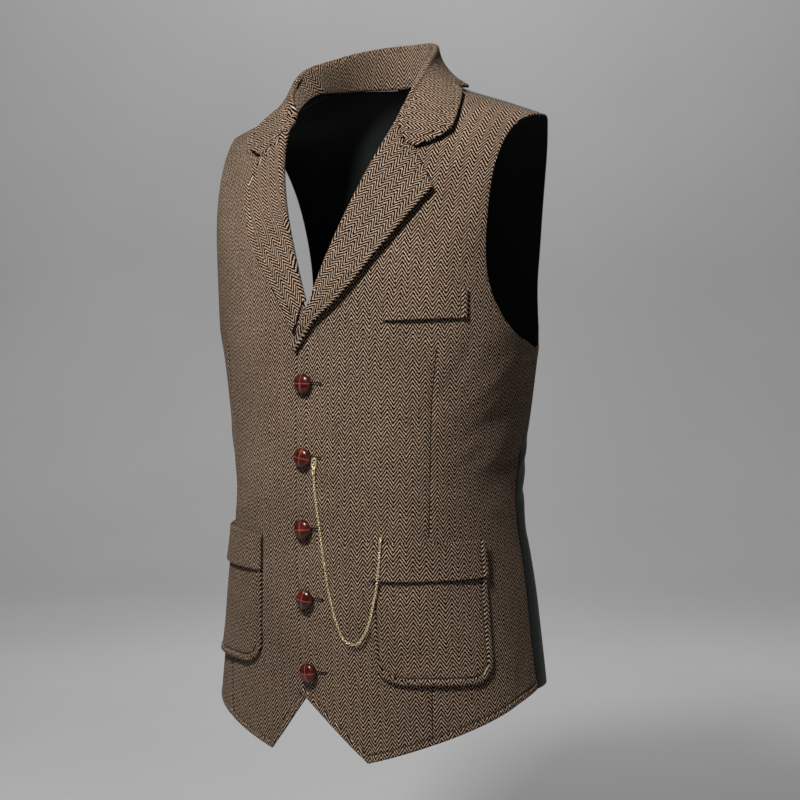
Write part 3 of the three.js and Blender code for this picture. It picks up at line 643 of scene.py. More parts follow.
def leather_material(name, deep, bright):
    n = Nodes(name)
    place = n.object_place()
    grain_noise = n.noise(place, 900, 3.0, 0.6)
    wear = n.ramp(n.noise(place, 160, 2.0), 0.4, 0.75)
    n.bump(grain_noise, 0.25, 0.0003)
    polish = {"Specular IOR Level": 0.25, "Coat Weight": 0.22, "Coat Roughness": 0.08}
    return n.surface(n.blend(wear, deep, bright), n.ramp(grain_noise, 0.3, 0.7, 0.2, 0.36), polish)


def gilt_material(name, share):
    """Gilt metal. The share darkens it, for the painted shade on the insides of the links."""
    n = Nodes(name)
    rub = n.noise(n.object_place(), 500, 3.0)
    dull = (0.97 * share, 0.76 * share, 0.4 * share)
    bright = (share, 0.91 * share, 0.64 * share)
    colour = n.blend(n.ramp(rub, 0.35, 0.7), dull, bright)
    return n.surface(colour, n.ramp(rub, 0.3, 0.7, 0.26, 0.36), {"Metallic": 0.76})


def thread_material(name, colour):
    n = Nodes(name)
    twist = n.noise(n.object_place(), 1400, 2.0)
    tone = n.blend(twist, tuple(c * 0.6 for c in colour), tuple(c * 1.4 for c in colour))
    n.bump(twist, 0.4, 0.0002)
    return n.surface(tone, 0.85, {"Specular IOR Level": 0.2})


def plain_material(name, colour, roughness):
    n = Nodes(name)
    cloud = n.noise(n.object_place(), 0.8, 3.0)
    tone = n.blend(n.ramp(cloud, 0.3, 0.7), tuple(c * 0.95 for c in colour), tuple(c * 1.04 for c in colour))
    return n.surface(tone, roughness)


TWEED = tweed_material("tweed")
SATIN = satin_material("back_satin", (0.006, 0.0082, 0.0076), 0.46)
LINING = satin_material("lining", (0.008, 0.010, 0.0093), 0.5)
LEATHER = leather_material("leather", (0.028, 0.0035, 0.002), (0.1, 0.011, 0.006))
LEATHER_BAND = leather_material("leather_band", (0.22, 0.05, 0.034), (0.32, 0.08, 0.05))
GILT = gilt_material("gilt", 1)
# Gilt darkened to painted shade, for the insides of the links
GILT_PAINTED_SHADE = gilt_material("gilt_painted_shade", 0.12)
THREAD = thread_material("thread", (0.09, 0.06, 0.04))
DARK_THREAD = thread_material("dark_thread", (0.007, 0.0045, 0.0035))


# Mesh building

def place_object(name, data):
    obj = bpy.data.objects.new(name, data)
    bpy.context.collection.objects.link(obj)
    return obj


def mesh_object(name, points, faces, materials, material_index=None, weave=None):
    """A named object from points in millimetres."""
    mesh = bpy.data.meshes.new(name)
    mesh.from_pydata([tuple(p) for p in np.asarray(points) * MM], [], faces)
    for material in materials:
        mesh.materials.append(material)
    mesh.polygons.foreach_set("use_smooth", [True] * len(faces))
    if material_index is not None:
        mesh.polygons.foreach_set("material_index", material_index)
    if weave is not None:
        layer = mesh.uv_layers.new(name="weave")
        corners = np.empty(len(mesh.loops), int)
        mesh.loops.foreach_get("vertex_index", corners)
        layer.data.foreach_set("uv", np.asarray(weave)[corners].ravel())
    mesh.update()
    obj = place_object(name, mesh)
    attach(obj, "root")
    return obj


# Distances of the first lines of a cloth's grid from its edge, and how thick the outermost are
EDGE_STEPS = np.array([0, 0.25, 0.7, 1.3, 2.1, 2.9, 3.7, 4.4, 5, 5.5, 6, 6.5, 7, 7.5, 8.1, 9, 10.5])
EDGE_THICKNESS = (0.25, 0.72, 0.94)


def rounded(count):
    """How thick the cloth is along a line of points, with its ends rounded off."""
    thick = np.ones(count)
    thick[:3] = EDGE_THICKNESS
    thick[-3:] = EDGE_THICKNESS[::-1]
    return thick


def spread(length, step):
    """Shares along a line of a length, close together near its ends, and how thick the cloth is at each."""
    edge = EDGE_STEPS / length
    count = max(4, round((length - 2 * EDGE_STEPS[-1]) / step * DETAIL))
    shares = np.concatenate([edge[:-1], np.linspace(edge[-1], 1 - edge[-1], count), 1 - edge[-2::-1]])
    return shares, rounded(len(shares))


def quads(index):
    """Faces between the neighbours of a grid of point numbers."""
    a, b, c, d = index[:-1, :-1], index[:-1, 1:], index[1:, 1:], index[1:, :-1]
    return np.stack([a, b, c, d], -1).reshape(-1, 4)


def border(index):
    """The numbers round the edge of a grid, in order."""
    return np.concatenate([index[0, :-1], index[:-1, -1], index[-1, :0:-1], index[:0:-1, 0]])


def shell(name, middle, out, half, weave, materials):
    """A closed thin shell round a grid of middle points: materials are for its outer and inner face."""
    rows, columns = middle.shape[:2]
    move = out * half[..., None]
    points = np.concatenate([(middle + move).reshape(-1, 3), (middle - move).reshape(-1, 3)])
    index = np.arange(rows * columns).reshape(rows, columns)
    outer = quads(index)
    inner = outer[:, [0, 3, 2, 1]] + rows * columns
    loop = border(index)
    back = loop + rows * columns
    edge = np.stack([loop, back, np.roll(back, -1), np.roll(loop, -1)], -1)
    faces = np.concatenate([outer, inner, edge])
    sides = np.repeat([0, 1, 0], [len(outer), len(inner), len(edge)])
    cross = np.cross(middle[1:, :-1] - middle[:-1, :-1], middle[:-1, 1:] - middle[:-1, :-1])
    if (cross * out[:-1, :-1]).sum() > 0:
        faces = faces[:, ::-1]
    weave = weave.reshape(-1, 2)
    return mesh_object(name, points, faces.tolist(), materials, sides, np.concatenate([weave, weave]))


def declare_cloth(obj):
    """Hides the part of model.glb that the piece replaces."""
    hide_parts(obj.name.removeprefix("cloth_"))


def outward_normals(middle, sample, way):
    """Normals of a grid of points, on the side that faces the given way at a sample of it."""
    out = unit(np.cross(np.gradient(middle, axis=0), np.gradient(middle, axis=1)))
    return out if out[sample] @ way > 0 else -out


def line_distance(points, line):
    """Distance of each point from a close run of points, and the nearest one's number."""
    flat = points.reshape(-1, 3)
    distance = np.empty(len(flat))
    nearest = np.empty(len(flat), int)
    for start in range(0, len(flat), 4000):
        part = flat[start : start + 4000]
        d2 = ((part[:, None, :] - line[None, :, :]) ** 2).sum(-1)
        nearest[start : start + 4000] = d2.argmin(1)
        distance[start : start + 4000] = np.sqrt(d2.min(1))
    return distance.reshape(points.shape[:-1]), nearest.reshape(points.shape[:-1])


def even_line(points, step):
    """The same line with points a step apart."""
    lengths = np.concatenate([[0], np.cumsum(np.linalg.norm(np.diff(points, axis=0), axis=1))])
    count = max(2, round(lengths[-1] / step) + 1)
    at = np.linspace(0, lengths[-1], count)
    return np.stack([np.interp(at, lengths, points[:, k]) for k in range(points.shape[1])], -1)


def swell(distance, rim, groove):
    """A stitched edge: a puffed rim, then the groove of the stitches."""
    inside = 1 - smooth((distance - STITCH_INSET + GROOVE["before"]) / GROOVE["fade"])
    puff = rim * inside * smooth(distance / 1.8 + 0.2)
    return puff - groove * np.exp(-(((distance - STITCH_INSET) / GROOVE["width"]) ** 2))


def along_line(points, line):
    """Distance of each point from a line that runs on straight past its ends, and how far along it lies."""
    first = line[0] - unit(line[12] - line[0]) * np.arange(120, 0, -1.0)[:, None]
    last = line[-1] + unit(line[-1] - line[-13]) * np.arange(1.0, 121)[:, None]
    whole = np.concatenate([first, line, last])
    distance, nearest = line_distance(points, whole)
    lengths = np.concatenate([[0], np.cumsum(np.linalg.norm(np.diff(whole, axis=0), axis=1))])
    ahead = unit(np.gradient(whole, axis=0))
    part = ((points - whole[nearest]) * ahead[nearest]).sum(-1)
    return distance, lengths[nearest] + part


# Stitches

STITCH_LENGTH = 2.7
STITCH_PITCH = 3.5
STITCH_RADIUS = 0.32
RING = [(math.cos(a), math.sin(a)) for a in np.arange(6) * math.pi / 3]
STITCH_RINGS = table("share radius", (0, 0.25), (0.16, 0.85), (0.5, 1), (0.84, 0.85), (1, 0.25))


class Sewing:
    """Gathers stitches, then makes one piece of them."""

    def __init__(self):
        self.points = []
        self.faces = []

    def stitch(self, start, end, out, radius=STITCH_RADIUS):
        along = unit(end - start)
        side = unit(np.cross(along, out))
        up = np.cross(side, along)
        base = len(self.points)
        for share, size in zip(STITCH_RINGS["share"], STITCH_RINGS["radius"]):
            centre = mix(start, end, share) - up * radius * 0.9 * (abs(share - 0.5) * 2) ** 3
            self.points += [centre + (side * c + up * s) * radius * size for c, s in RING]
        for ring in range(len(STITCH_RINGS["share"]) - 1):
            for k in range(6):
                a, b = base + ring * 6 + k, base + ring * 6 + (k + 1) % 6
                self.faces.append((a, b, b + 6, a + 6))
        self.faces.append(tuple(base + 5 - k for k in range(6)))
        last = base + 6 * (len(STITCH_RINGS["share"]) - 1)
        self.faces.append(tuple(last + k for k in range(6)))

    def run(self, line, out, pitch=STITCH_PITCH, length=STITCH_LENGTH, lift=0.15):
        """Stitches along a line of points, with the outward direction at each."""
        both = even_line(np.concatenate([line, out], 1), pitch)
        spots, outs = both[:, :3], unit(both[:, 3:])
        for k in range(len(spots) - 1):
            start = spots[k] + outs[k] * lift
            end = mix(spots[k], spots[k + 1], length / pitch) + outs[k] * lift
            self.stitch(start, end, outs[k])

    def make(self, name, material):
        obj = mesh_object(name, np.array(self.points), self.faces, [material])
        return obj


TOPSTITCH = Sewing()
SEAMS = Sewing()


def inset_spot(middle, out, half, near):
    """Place and direction on a line from an edge, where it first crosses the stitch inset."""
    cross = np.nonzero((near[:-1] < STITCH_INSET) & (near[1:] >= STITCH_INSET))[0]
    if not len(cross):
        return None
    k = cross[0]
    t = (STITCH_INSET - near[k]) / (near[k + 1] - near[k])
    way = mix(out[k], out[k + 1], t)
    return mix(middle[k], middle[k + 1], t) + way * half[k], way


def sew_inset(lines):
    """Top stitches where the lines, which start at an edge, cross the inset."""
    spots = [spot for spot in (inset_spot(*line) for line in lines) if spot]
    if len(spots) > 4:
        TOPSTITCH.run(*(np.array(part) for part in zip(*spots)))


def sew_panel(grids, keep):
    """Stitches found on the kept rows, then on a third of each column."""
    rows, columns = grids[0].shape[:2]
    sew_inset([[g[k] for g in grids] for k in range(rows) if keep[k]])
    sew_inset([[g[: rows // 3 + 1, k] for g in grids] for k in range(columns)])


def seam_ribbon(name, line, out, width):
    """A dark sunken seam, drawn as a narrow bead of turned cloth edge."""
    both = even_line(np.concatenate([line, out], 1), 3.0)
    spots, outs = both[:, :3], unit(both[:, 3:])
    along = unit(np.gradient(spots, axis=0))
    side = np.cross(along, outs)
    offsets = ((-1, -0.3), (-0.5, 0.1), (0, 0.16), (0.5, 0.1), (1, -0.3))
    grid = np.stack([spots + side * s * width / 2 + outs * h for s, h in offsets], 1)
    outs = np.repeat(outs[:, None], len(offsets), 1)
    half = np.full(grid.shape[:2], 0.12)
    weave = np.zeros((*grid.shape[:2], 2))
    return shell(name, grid, outs, half, weave, [DARK_THREAD, DARK_THREAD])


# Fronts

def front_edge(side, row):
    """Place of the front edge at each row, from the tip of the hem up to the neck."""
    rows = SEAM_ROWS + ARMHOLE_ROWS
    cut = row / CUT_ROWS
    middle = (row - CUT_ROWS) / (SEAM_ROWS - CUT_ROWS)
    upper = np.clip((row - SEAM_ROWS) / (rows - SEAM_ROWS), 0, 1) ** ROLL_SPACING
    neck_z = curve(SHOULDER, "x", "z", NECK_HALF_WIDTH)
    z = mix(CUT_TOP[side], BREAK_HEIGHT, middle)
    z = np.where(row <= CUT_ROWS, mix(FRONT_TIP[1], CUT_TOP[side], cut), z)
    z = np.where(row > SEAM_ROWS, mix(BREAK_HEIGHT, neck_z, upper), z)
    x = np.where(row <= CUT_ROWS, mix(FRONT_TIP[0], -LAP, cut), -LAP)
    x = np.where(row > SEAM_ROWS, curve(ROLL_LINE, "height", "x", z), x)
    return front_place(side * x, z)


def side_edge(side, row, armhole):
    """Place of the side seam and the armhole at each row."""
    share = np.clip((row - SEAM_ROWS) / ARMHOLE_ROWS, 0, 1)
    seam_height = mix(SIDE_HEM[side], ARMPIT_HEIGHT, np.clip(row / SEAM_ROWS, 0, 1))
    low = row <= SEAM_ROWS
    seam_angle = curve(SIDE_SEAM, "height", "angle", seam_height)
    angle = np.where(low, seam_angle, curve(armhole, "share", "angle", share))
    height = np.where(low, seam_height, curve(armhole, "share", "height", share))
    return side * angle, height


def panel_rows(step):
    """Rows of a front or back panel, close together at the hem and at the shoulder."""
    last = SEAM_ROWS + ARMHOLE_ROWS
    parts = [(0.65, CUT_ROWS), (CUT_ROWS, SEAM_ROWS), (SEAM_ROWS, last - 0.1)]
    middle = [np.arange(start, end, step / DETAIL) for start, end in parts]
    hem = np.concatenate([[0, 0.015, 0.035], np.arange(0.06, 0.62, 0.035 / DETAIL)])
    rows = np.concatenate([hem, *middle, [last - 0.04, last - 0.015, last]])
    return rows, rounded(len(rows))


def front_columns():
    """Shares across a front, close together along the front edge."""
    near = np.arange(0.0045, 0.046, 0.0026 / DETAIL)
    parts = ((0.05, 0.36, 30), (0.36, 0.56, 44), (0.56, 0.99, 42))
    across = np.concatenate([np.linspace(a, b, round(n * DETAIL), endpoint=False) for a, b, n in parts])
    shares = np.concatenate([[0, 0.0008, 0.0022], near, across, [0.99, 0.9955, 0.9985, 1]])
    return shares, rounded(len(shares))


DART_TROUGH = {"depth": 1.2, "width": 3.2, "fade": 14}


def dart_trough(side, angle, height):
    """The pull of the darts over and under the hip pocket."""
    depth = 0
    for rows, top, bottom in ((DART, -249, -437), (LOW_DART, -578, -640)):
        x = curve(rows, "height", "x", np.clip(height, rows["height"][0], rows["height"][-1]))
        at, _ = front_place(side * x, height)
        across = np.radians(angle - at) * FOLD_ARC_RADIUS
        fade = DART_TROUGH["fade"]
        inside = smooth((top - height) / fade + 0.5) * smooth((height - bottom) / fade + 0.5)
        depth = depth - DART_TROUGH["depth"] * inside * np.exp(-((across / DART_TROUGH["width"]) ** 2))
    return depth


def front_grid(side):
    """Middle points of a front, with their normals, half thickness and weave."""
    rows, row_thick = panel_rows(0.14)
    shares, share_thick = front_columns()
    start = front_edge(side, rows)
    end = side_edge(side, rows, FRONT_ARMHOLE)
    end_angle = end[0] - np.where(rows <= SEAM_ROWS, side * SEAM_ANGLE, 0)
    hem = HEM_RISE[side] * (1 - smooth(rows / CUT_ROWS))
    share = shares[None, :] ** FRONT_SPACING
    angle = mix(start[0][:, None], end_angle[:, None], share)
    height = mix(start[1][:, None], end[1][:, None], share) + hem[:, None] * np.sin(np.pi * share)
    lift = lap_lift(side, trunk(angle, height)[..., 0]) - FRONT_CLOTH / 2 + dart_trough(side, angle, height)
    middle = cloth(angle, height, lift, creased=True)
    middle[-1, :, 1] -= SHOULDER_GAP
    half = FRONT_CLOTH / 2 * row_thick[:, None] * share_thick[None, :]
    return middle, normal(angle, height), half, grain(angle, height), rows


FRONT_SWELL = (0.5, 1.1)
DART_RIBBON = 1.5


def make_front(side):
    """A tweed front with its stitched edge and darts."""
    name = NAMES[side]
    middle, out, half, weave, rows = front_grid(side)
    low = rows <= SEAM_ROWS
    edge = even_line(np.concatenate([middle[0, ::-1], middle[low, 0]]), 1.5)
    near, _ = line_distance(middle, edge)
    middle = middle + out * swell(near, *FRONT_SWELL)[..., None]
    obj = shell(f"cloth_front_{name}", middle, out, half, weave, [TWEED, LINING])
    declare_cloth(obj)
    sew_panel((middle, out, half, near), rows < SEAM_ROWS - 0.6)
    for rows_of, name_of in ((DART, "dart"), (LOW_DART, "low_dart")):
        height = np.linspace(rows_of["height"][0] + 2, rows_of["height"][-1] - 2, 40)
        angle, place_height = front_place(side * curve(rows_of, "height", "x", height), height)
        line = cloth(angle, place_height, dart_trough(side, angle, place_height), creased=True)
        ribbon = seam_ribbon(f"{name_of}_{name}", line, normal(angle, place_height), DART_RIBBON)


# Backs

BACK_WIDTH = 235
BACK_SEAM_DEPTH = 0.7
BACK_SEAM_SPREAD = 1.15


def back_neck(side, share):
    """The neck seam of a back, from the middle to the shoulder."""
    x = NECK_HALF_WIDTH * np.sin(share * np.pi / 2)
    height = -BACK_NECK_DROP * np.cos(share * np.pi / 2) ** 2
    return side * np.minimum(MIDDLE_ANGLE, back_angle(x, height)), height


def back_top(side, column):
    """The top edge of a back: the neck seam, then the shoulder seam."""
    neck = back_neck(side, np.clip(column / COLLAR_BACK, 0, 1))
    tip = SHOULDER_REACH * math.sin(math.radians(SHOULDER_TIP)) ** (2 / RING_POWER)
    share = np.clip((column - COLLAR_BACK) / (BACK_COLUMNS - COLLAR_BACK), 0, 1)
    out_angle = side * back_angle(mix(NECK_HALF_WIDTH, tip, share), 0.0)
    inside = column <= COLLAR_BACK
    return np.where(inside, neck[0], out_angle), np.where(inside, neck[1], 0.0)


def back_grid(side):
    """Middle points of a back, with their normals, half thickness and weave."""
    rows, row_thick = panel_rows(0.2)
    shares, share_thick = spread(BACK_WIDTH, 2.6)
    end = side_edge(side, rows, BACK_ARMHOLE)
    end_angle = (end[0] + np.where(rows <= SEAM_ROWS, side * SEAM_ANGLE, 0))[:, None]
    up = (rows / rows[-1])[:, None]
    centre = mix(BACK_HEM, -BACK_NECK_DROP, up)
    top = back_top(side, shares * BACK_COLUMNS)
    tip = back_top(side, BACK_COLUMNS)
    share = shares[None, :]
    bend_angle = top[0][None, :] - mix(side * MIDDLE_ANGLE, tip[0], share)
    bend_height = top[1][None, :] - mix(-BACK_NECK_DROP, tip[1], share)
    angle = mix(side * MIDDLE_ANGLE, end_angle, share) + bend_angle * up**BACK_SHAPING
    height = mix(centre, end[1][:, None], share) + bend_height * up**BACK_SHAPING
    seam = -BACK_SEAM_DEPTH * np.exp(-(((180 - np.abs(angle)) / BACK_SEAM_SPREAD) ** 2))
    middle = cloth(angle, height, -BACK_CLOTH / 2 + seam, creased=True)
    middle[-1, :, 1] += SHOULDER_GAP
    half = BACK_CLOTH / 2 * row_thick[:, None] * share_thick[None, :]
    return middle, normal(angle, height), half, grain(angle, height)


SEAM_TAPE = {"width": 8, "gap": 0.35}


def seam_tape(name, angle, height, thickness):
    """The pressed turnings behind a seam, inside the garment."""
    line = cloth(angle, height, -thickness - SEAM_TAPE["gap"], creased=True)
    tape = seam_ribbon(name, line, normal(angle, height), SEAM_TAPE["width"])


def make_back(side):
    """A satin back with the turnings of its side seam."""
    name = NAMES[side]
    middle, out, half, weave = back_grid(side)
    obj = shell(f"cloth_back_{name}", middle, out, half, weave, [SATIN, LINING])
    declare_cloth(obj)
    angle, height = side_edge(side, np.linspace(0.1, SEAM_ROWS - 0.1, 60), FRONT_ARMHOLE)
    seam_tape(f"side_turnings_{name}", angle, height, FRONT_CLOTH)


# Lapels

def fold_points(start, away, inside, outward, crest, radius, steps=13):
    """Middle points of the sheet from its seam, round the fold, to the start of the fall."""
    centre = crest - inside * radius
    foot = centre - outward * radius
    bend = mix(start, foot, STAND_BEND["place"]) + away * STAND_BEND["depth"] * np.linalg.norm(foot - start)
    legs = [mix(mix(start, bend, t), mix(bend, foot, t), t) for t in (0, 0.08, 0.2, 0.4, 0.6, 0.8)]
    turns = np.radians(np.linspace(0, 180, steps))
    arc = [centre - outward * radius * math.cos(a) + inside * radius * math.sin(a) for a in turns]
    return legs + arc


def roll_point(side, height):
    """Where the lapel starts to turn at a height."""
    x = curve(ROLL_LINE, "height", "x", height)
    angle, place = front_place(side * x, height)
    return angle, place, cloth(angle, place, lap_lift(side, x) - FRONT_CLOTH / 2)


def roll_fold(side, height, radius):
    """The fold of a lapel at a height."""
    angle, place, seam = roll_point(side, height)
    out = normal(angle, place)
    up = unit(roll_point(side, height + 2)[2] - seam)
    away = unit(np.cross(out, up)) * side
    crest = seam + away * (ROLL_GAP + FOLD_LEG + radius) + out * radius
    return fold_points(seam + away * ROLL_GAP, away, away, out, crest, radius)


def lapel_across(side, share, roll_height, shares):
    """Widths and heights across a lapel, from its roll to its outer edge."""
    edge = LAPEL_EDGE[side]
    point = (edge["x"][-1], edge["height"][-1])
    top_x = curve(ROLL_LINE, "height", "x", GORGE_HEIGHT)
    start_x = curve(ROLL_LINE, "height", "x", roll_height)
    end_x = curve(edge, "share", "x", share)
    end_height = curve(edge, "share", "height", share)
    tops = [(top_x, GORGE_HEIGHT), *GORGE, *LAPEL_TOP[side], point]
    knots = np.linspace(0, 1, len(tops))
    bend = share**LAPEL_SHAPING
    top_line = [np.interp(shares, knots, [t[k] for t in tops]) for k in range(2)]
    x = mix(start_x, end_x, shares) + (top_line[0] - mix(top_x, point[0], shares)) * bend
    height = mix(roll_height, end_height, shares) + (top_line[1] - mix(GORGE_HEIGHT, point[1], shares)) * bend
    return x, height


LAPEL_SIZE = (95, 250)
LAPEL_EDGE_LIFT = 3.2
LEAF_SWELL = (0.9, 1.2)


def leaf_shares(width):
    """Shares from a fold out to a free edge, close together along the edge."""
    edge = 1 - EDGE_STEPS[::-1] / width
    count = round(edge[0] * width / 2.6 * DETAIL)
    return np.concatenate([np.linspace(0.03, edge[0], count)[:-1], edge])


GORGE_SHARE = 0.4
GORGE_GROOVE = {"depth": 1.1, "width": 1.7}
STAND_EDGE = (0.6, 1, 1)
FAR_FROM_EDGE = 50


def gorge_sink(middle, folded, row, shares):
    """How far the cloth sinks into the seam between a lapel and the collar."""
    seam = middle[row, folded:][shares <= GORGE_SHARE]
    near, _ = line_distance(middle, even_line(seam, 1.0))
    return GORGE_GROOVE["depth"] * np.exp(-((near / GORGE_GROOVE["width"]) ** 2))


def puff_leaf(middle, out, folded, edges, sink):
    """The leaf with its swollen edges and sunken seam, and each point's distance from an edge."""
    near, _ = line_distance(middle, even_line(np.concatenate(edges), 1.0))
    near[:, :folded] = FAR_FROM_EDGE
    return middle + out * (swell(near, *LEAF_SWELL) - sink)[..., None], near


def make_leaf(name, middle, out, near, weave, folded, row_thick, keep):
    """The turned piece with its stitches: its columns run from the seam, over the fold, to the edge."""
    thick = rounded(middle.shape[1])
    thick[:3] = STAND_EDGE
    half = TURNED_CLOTH / 2 * row_thick[:, None] * thick[None, :]
    obj = shell(name, middle, out, half, weave, [TWEED, TWEED])
    declare_cloth(obj)
    sew_panel([grid[:, folded:][:, ::-1] for grid in (middle, out, half, near)], keep)


def make_lapel(side):
    """A lapel turned back along its roll."""
    name = NAMES[side]
    row_shares, row_thick = spread(LAPEL_SIZE[1], 2.2)
    shares = leaf_shares(LAPEL_SIZE[0])
    grid = []
    for share in row_shares:
        roll_height = mix(LAPEL_START[side], GORGE_HEIGHT, share)
        size = mix(SMALL_FOLD, 1, smooth(share / FULL_FOLD_SHARE))
        fold = roll_fold(side, roll_height, FOLD_RADIUS * size)
        x, height = lapel_across(side, share, roll_height, shares)
        angle, place = front_place(side * x, height)
        lift = lap_lift(side, x) + 2 * FOLD_RADIUS * size - FRONT_CLOTH / 2 + LAPEL_EDGE_LIFT * shares**3
        grid.append(np.concatenate([fold, cloth(angle, place, lift)]))
    middle = np.array(grid)
    out = outward_normals(middle, (60, -5), np.array([0, -1, 0]))
    folded = len(middle[0]) - len(shares)
    across, along = along_line(middle, even_line(middle[:, -1], 1.0))
    behind = np.cumsum(np.linalg.norm(np.diff(middle[:, folded::-1], axis=1), axis=2), 1)[:, ::-1]
    across[:, :folded] = across[:, folded : folded + 1] + behind
    along[:, :folded] = along[:, folded : folded + 1]
    edges = [middle[:, -1], middle[-1, ::-1][: len(shares)]]
    middle, near = puff_leaf(middle, out, folded, edges, gorge_sink(middle, folded, -1, shares))
    make_leaf(f"cloth_lapel_{name}", middle, out, near, np.stack([across, along], -1), folded,
              row_thick, row_shares > 0.03)


# Collar

LEAF_STAND = 3.6
FRONT_WEAVE_END = 9
END_WEAVE = 3
FOLD_BLEND = 10
COLLAR_PLAIN_ROWS = 14
COLLAR_LEAF = 85


def collar_places(side, station):
    """Seam and outer edge of the collar at a station, and the cloth under it."""
    if station < COLLAR_FRONT:
        share = station / COLLAR_FRONT
        top = curve(SHOULDER, "x", "z", NECK_HALF_WIDTH)
        height = mix(GORGE_HEIGHT + COLLAR_GAP, top, share)
        seam = front_place(side * curve(ROLL_LINE, "height", "x", height), height)
        x = curve(COLLAR_EDGE, "share", "x", share)
        edge = front_place(side * x, curve(COLLAR_EDGE, "share", "height", share))
        return seam, edge, FRONT_CLOTH
    share = 1 - (station - COLLAR_FRONT) / COLLAR_BACK
    x = COLLAR_BACK_EDGE["half_width"] * math.sin(share * math.pi / 2) ** COLLAR_BACK_EDGE["narrowing"]
    height = -COLLAR_BACK_EDGE["drop"] * math.cos(share * math.pi / 2) ** 2
    edge = (side * np.minimum(MIDDLE_ANGLE, back_angle(x, height)), height)
    return back_neck(side, share), edge, BACK_CLOTH


def collar_seam(side, station):
    seam, _, thickness = collar_places(side, station)
    return cloth(*seam, -thickness / 2)


def bezier(a, b, c, d, t):
    t = t[:, None]
    return (1 - t) ** 3 * a + 3 * t * (1 - t) ** 2 * b + 3 * t * t * (1 - t) * c + t**3 * d


def collar_crest(side, share):
    """The top of the fold, a share of the way from the front to the back."""
    lean = curve(COLLAR_FOLD, "share", "lean", share) if side < 0 else 0
    crest = np.array([
        side * (curve(COLLAR_FOLD, "share", "x", share) + lean),
        curve(COLLAR_FOLD, "share", "y", share) - lean * LEAN_FORWARD,
        curve(COLLAR_FOLD, "share", "z", share),
    ])
    crest[2] += tilt(crest[0])
    return crest


def flat_leaf(side, shares):
    """The leaf where it lies on the front, along the gorge."""
    leaf = [*GORGE, *LEAF_END]
    knots = np.linspace(0, 1, len(leaf) + 1)
    start_x = curve(ROLL_LINE, "height", "x", GORGE_HEIGHT)
    x = np.interp(shares, knots, [start_x] + [p[0] + COLLAR_GAP for p in leaf])
    height = np.interp(shares, knots, [GORGE_HEIGHT] + [p[1] + COLLAR_GAP for p in leaf])
    place = front_place(side * x, height)
    return cloth(*place, lap_lift(side, x) + 2 * FOLD_RADIUS - FRONT_CLOTH / 2 + LEAF_STAND * shares**3)


def free_leaf(turn, inside, edge_place, stand, shares):
    """The leaf where it falls in a curve, from the fold to its edge above the shoulder or the back."""
    edge_out = normal(*edge_place)
    edge = cloth(*edge_place, stand)
    reach = np.linalg.norm(turn - edge)
    towards = turn - edge
    towards = unit(towards - edge_out * (towards @ edge_out))
    lifted = edge_out * reach * FALL["lift"]
    near_fold = turn - inside * reach * FALL["drop"] + lifted
    near_edge = edge + towards * reach * FALL["reach"] + lifted
    return bezier(turn, near_fold, near_edge, edge, shares)


def collar_row(side, station, shares):
    """Points of the collar from its seam, over the fold, to its edge, at one station round the neck."""
    stations = COLLAR_FRONT + COLLAR_BACK
    seam_place, edge_place, _ = collar_places(side, station)
    seam = collar_seam(side, station)
    out = normal(*seam_place)
    before = collar_seam(side, max(0, station - 1))
    if station + 1 > stations:
        after = collar_seam(-side, 2 * stations - station - 1)
    else:
        after = collar_seam(side, station + 1)
    along = unit(after - before)
    away = unit(np.cross(out, along)) * side
    rise = smooth(station / COLLAR_FRONT)
    inside = unit(away * (1 - rise) + np.array([0, 0, rise]))
    outward = unit(np.cross(inside, along)) * -side
    flat_crest = seam + away * (ROLL_GAP + FOLD_LEG + FOLD_RADIUS) + out * FOLD_RADIUS
    crest = mix(flat_crest, collar_crest(side, station / stations), smooth(station))
    start = seam + away * (ROLL_GAP + STAND_GAP * min(1, station))
    fold = fold_points(start, away, inside, outward, crest, FOLD_RADIUS)
    stand = LEAF_LIFT + LEAF_STAND * (1 - smooth(station / stations * 2))
    free = free_leaf(fold[-1], inside * rise, edge_place, stand, shares)
    leaf = mix(flat_leaf(side, shares), free, smooth(station / LEAF_STATIONS))
    return np.concatenate([fold, leaf])


def front_weave(middle, folded, from_back, rows):
    """Flat weave coordinates of one front end of the leaf: the wales run square to its fold."""
    fold = middle[rows, folded]
    centre = len(fold) // 2
    ahead = unit(fold[-1] - fold[0])
    if from_back[rows][-1] < from_back[rows][0]:
        ahead = -ahead
    beyond = (middle[rows, -1] - fold).mean(0)
    beyond = unit(beyond - ahead * (beyond @ ahead))
    places = middle - fold[centre]
    return places @ ahead + from_back[rows][centre], places @ beyond


def collar_weave(middle, folded, stations):
    """Weave coordinates of the collar: upright at the back, square to the fold at both front ends."""
    fold = middle[:, folded]
    along = np.concatenate([[0], np.cumsum(np.linalg.norm(np.diff(fold, axis=0), axis=1))])
    from_back = np.abs(along - along[stations.argmax()])
    down = np.cumsum(np.linalg.norm(np.diff(middle, axis=1), axis=2), 1)
    down = np.concatenate([np.zeros((len(middle), 1)), down], 1)
    around = np.repeat(from_back[:, None], down.shape[1], 1)
    across = down - down[:, folded : folded + 1]
    leaf = np.maximum(smooth(across / FOLD_BLEND), smooth((END_WEAVE - stations) / 1.5)[:, None])
    front = smooth((FRONT_WEAVE_END - stations) / 3.5)[:, None] * leaf
    back = stations.argmax()
    for half in (slice(0, back), slice(back, None)):
        rows = np.nonzero((stations > 1) & (stations < COLLAR_FRONT))[0]
        rows = rows[(rows < back) == (half.start == 0)]
        flat_around, flat_across = front_weave(middle, folded, from_back, rows)
        around[half] = mix(around[half], flat_around[half], front[half])
        across[half] = mix(across[half], flat_across[half], front[half])
    return np.stack([around, across], -1)


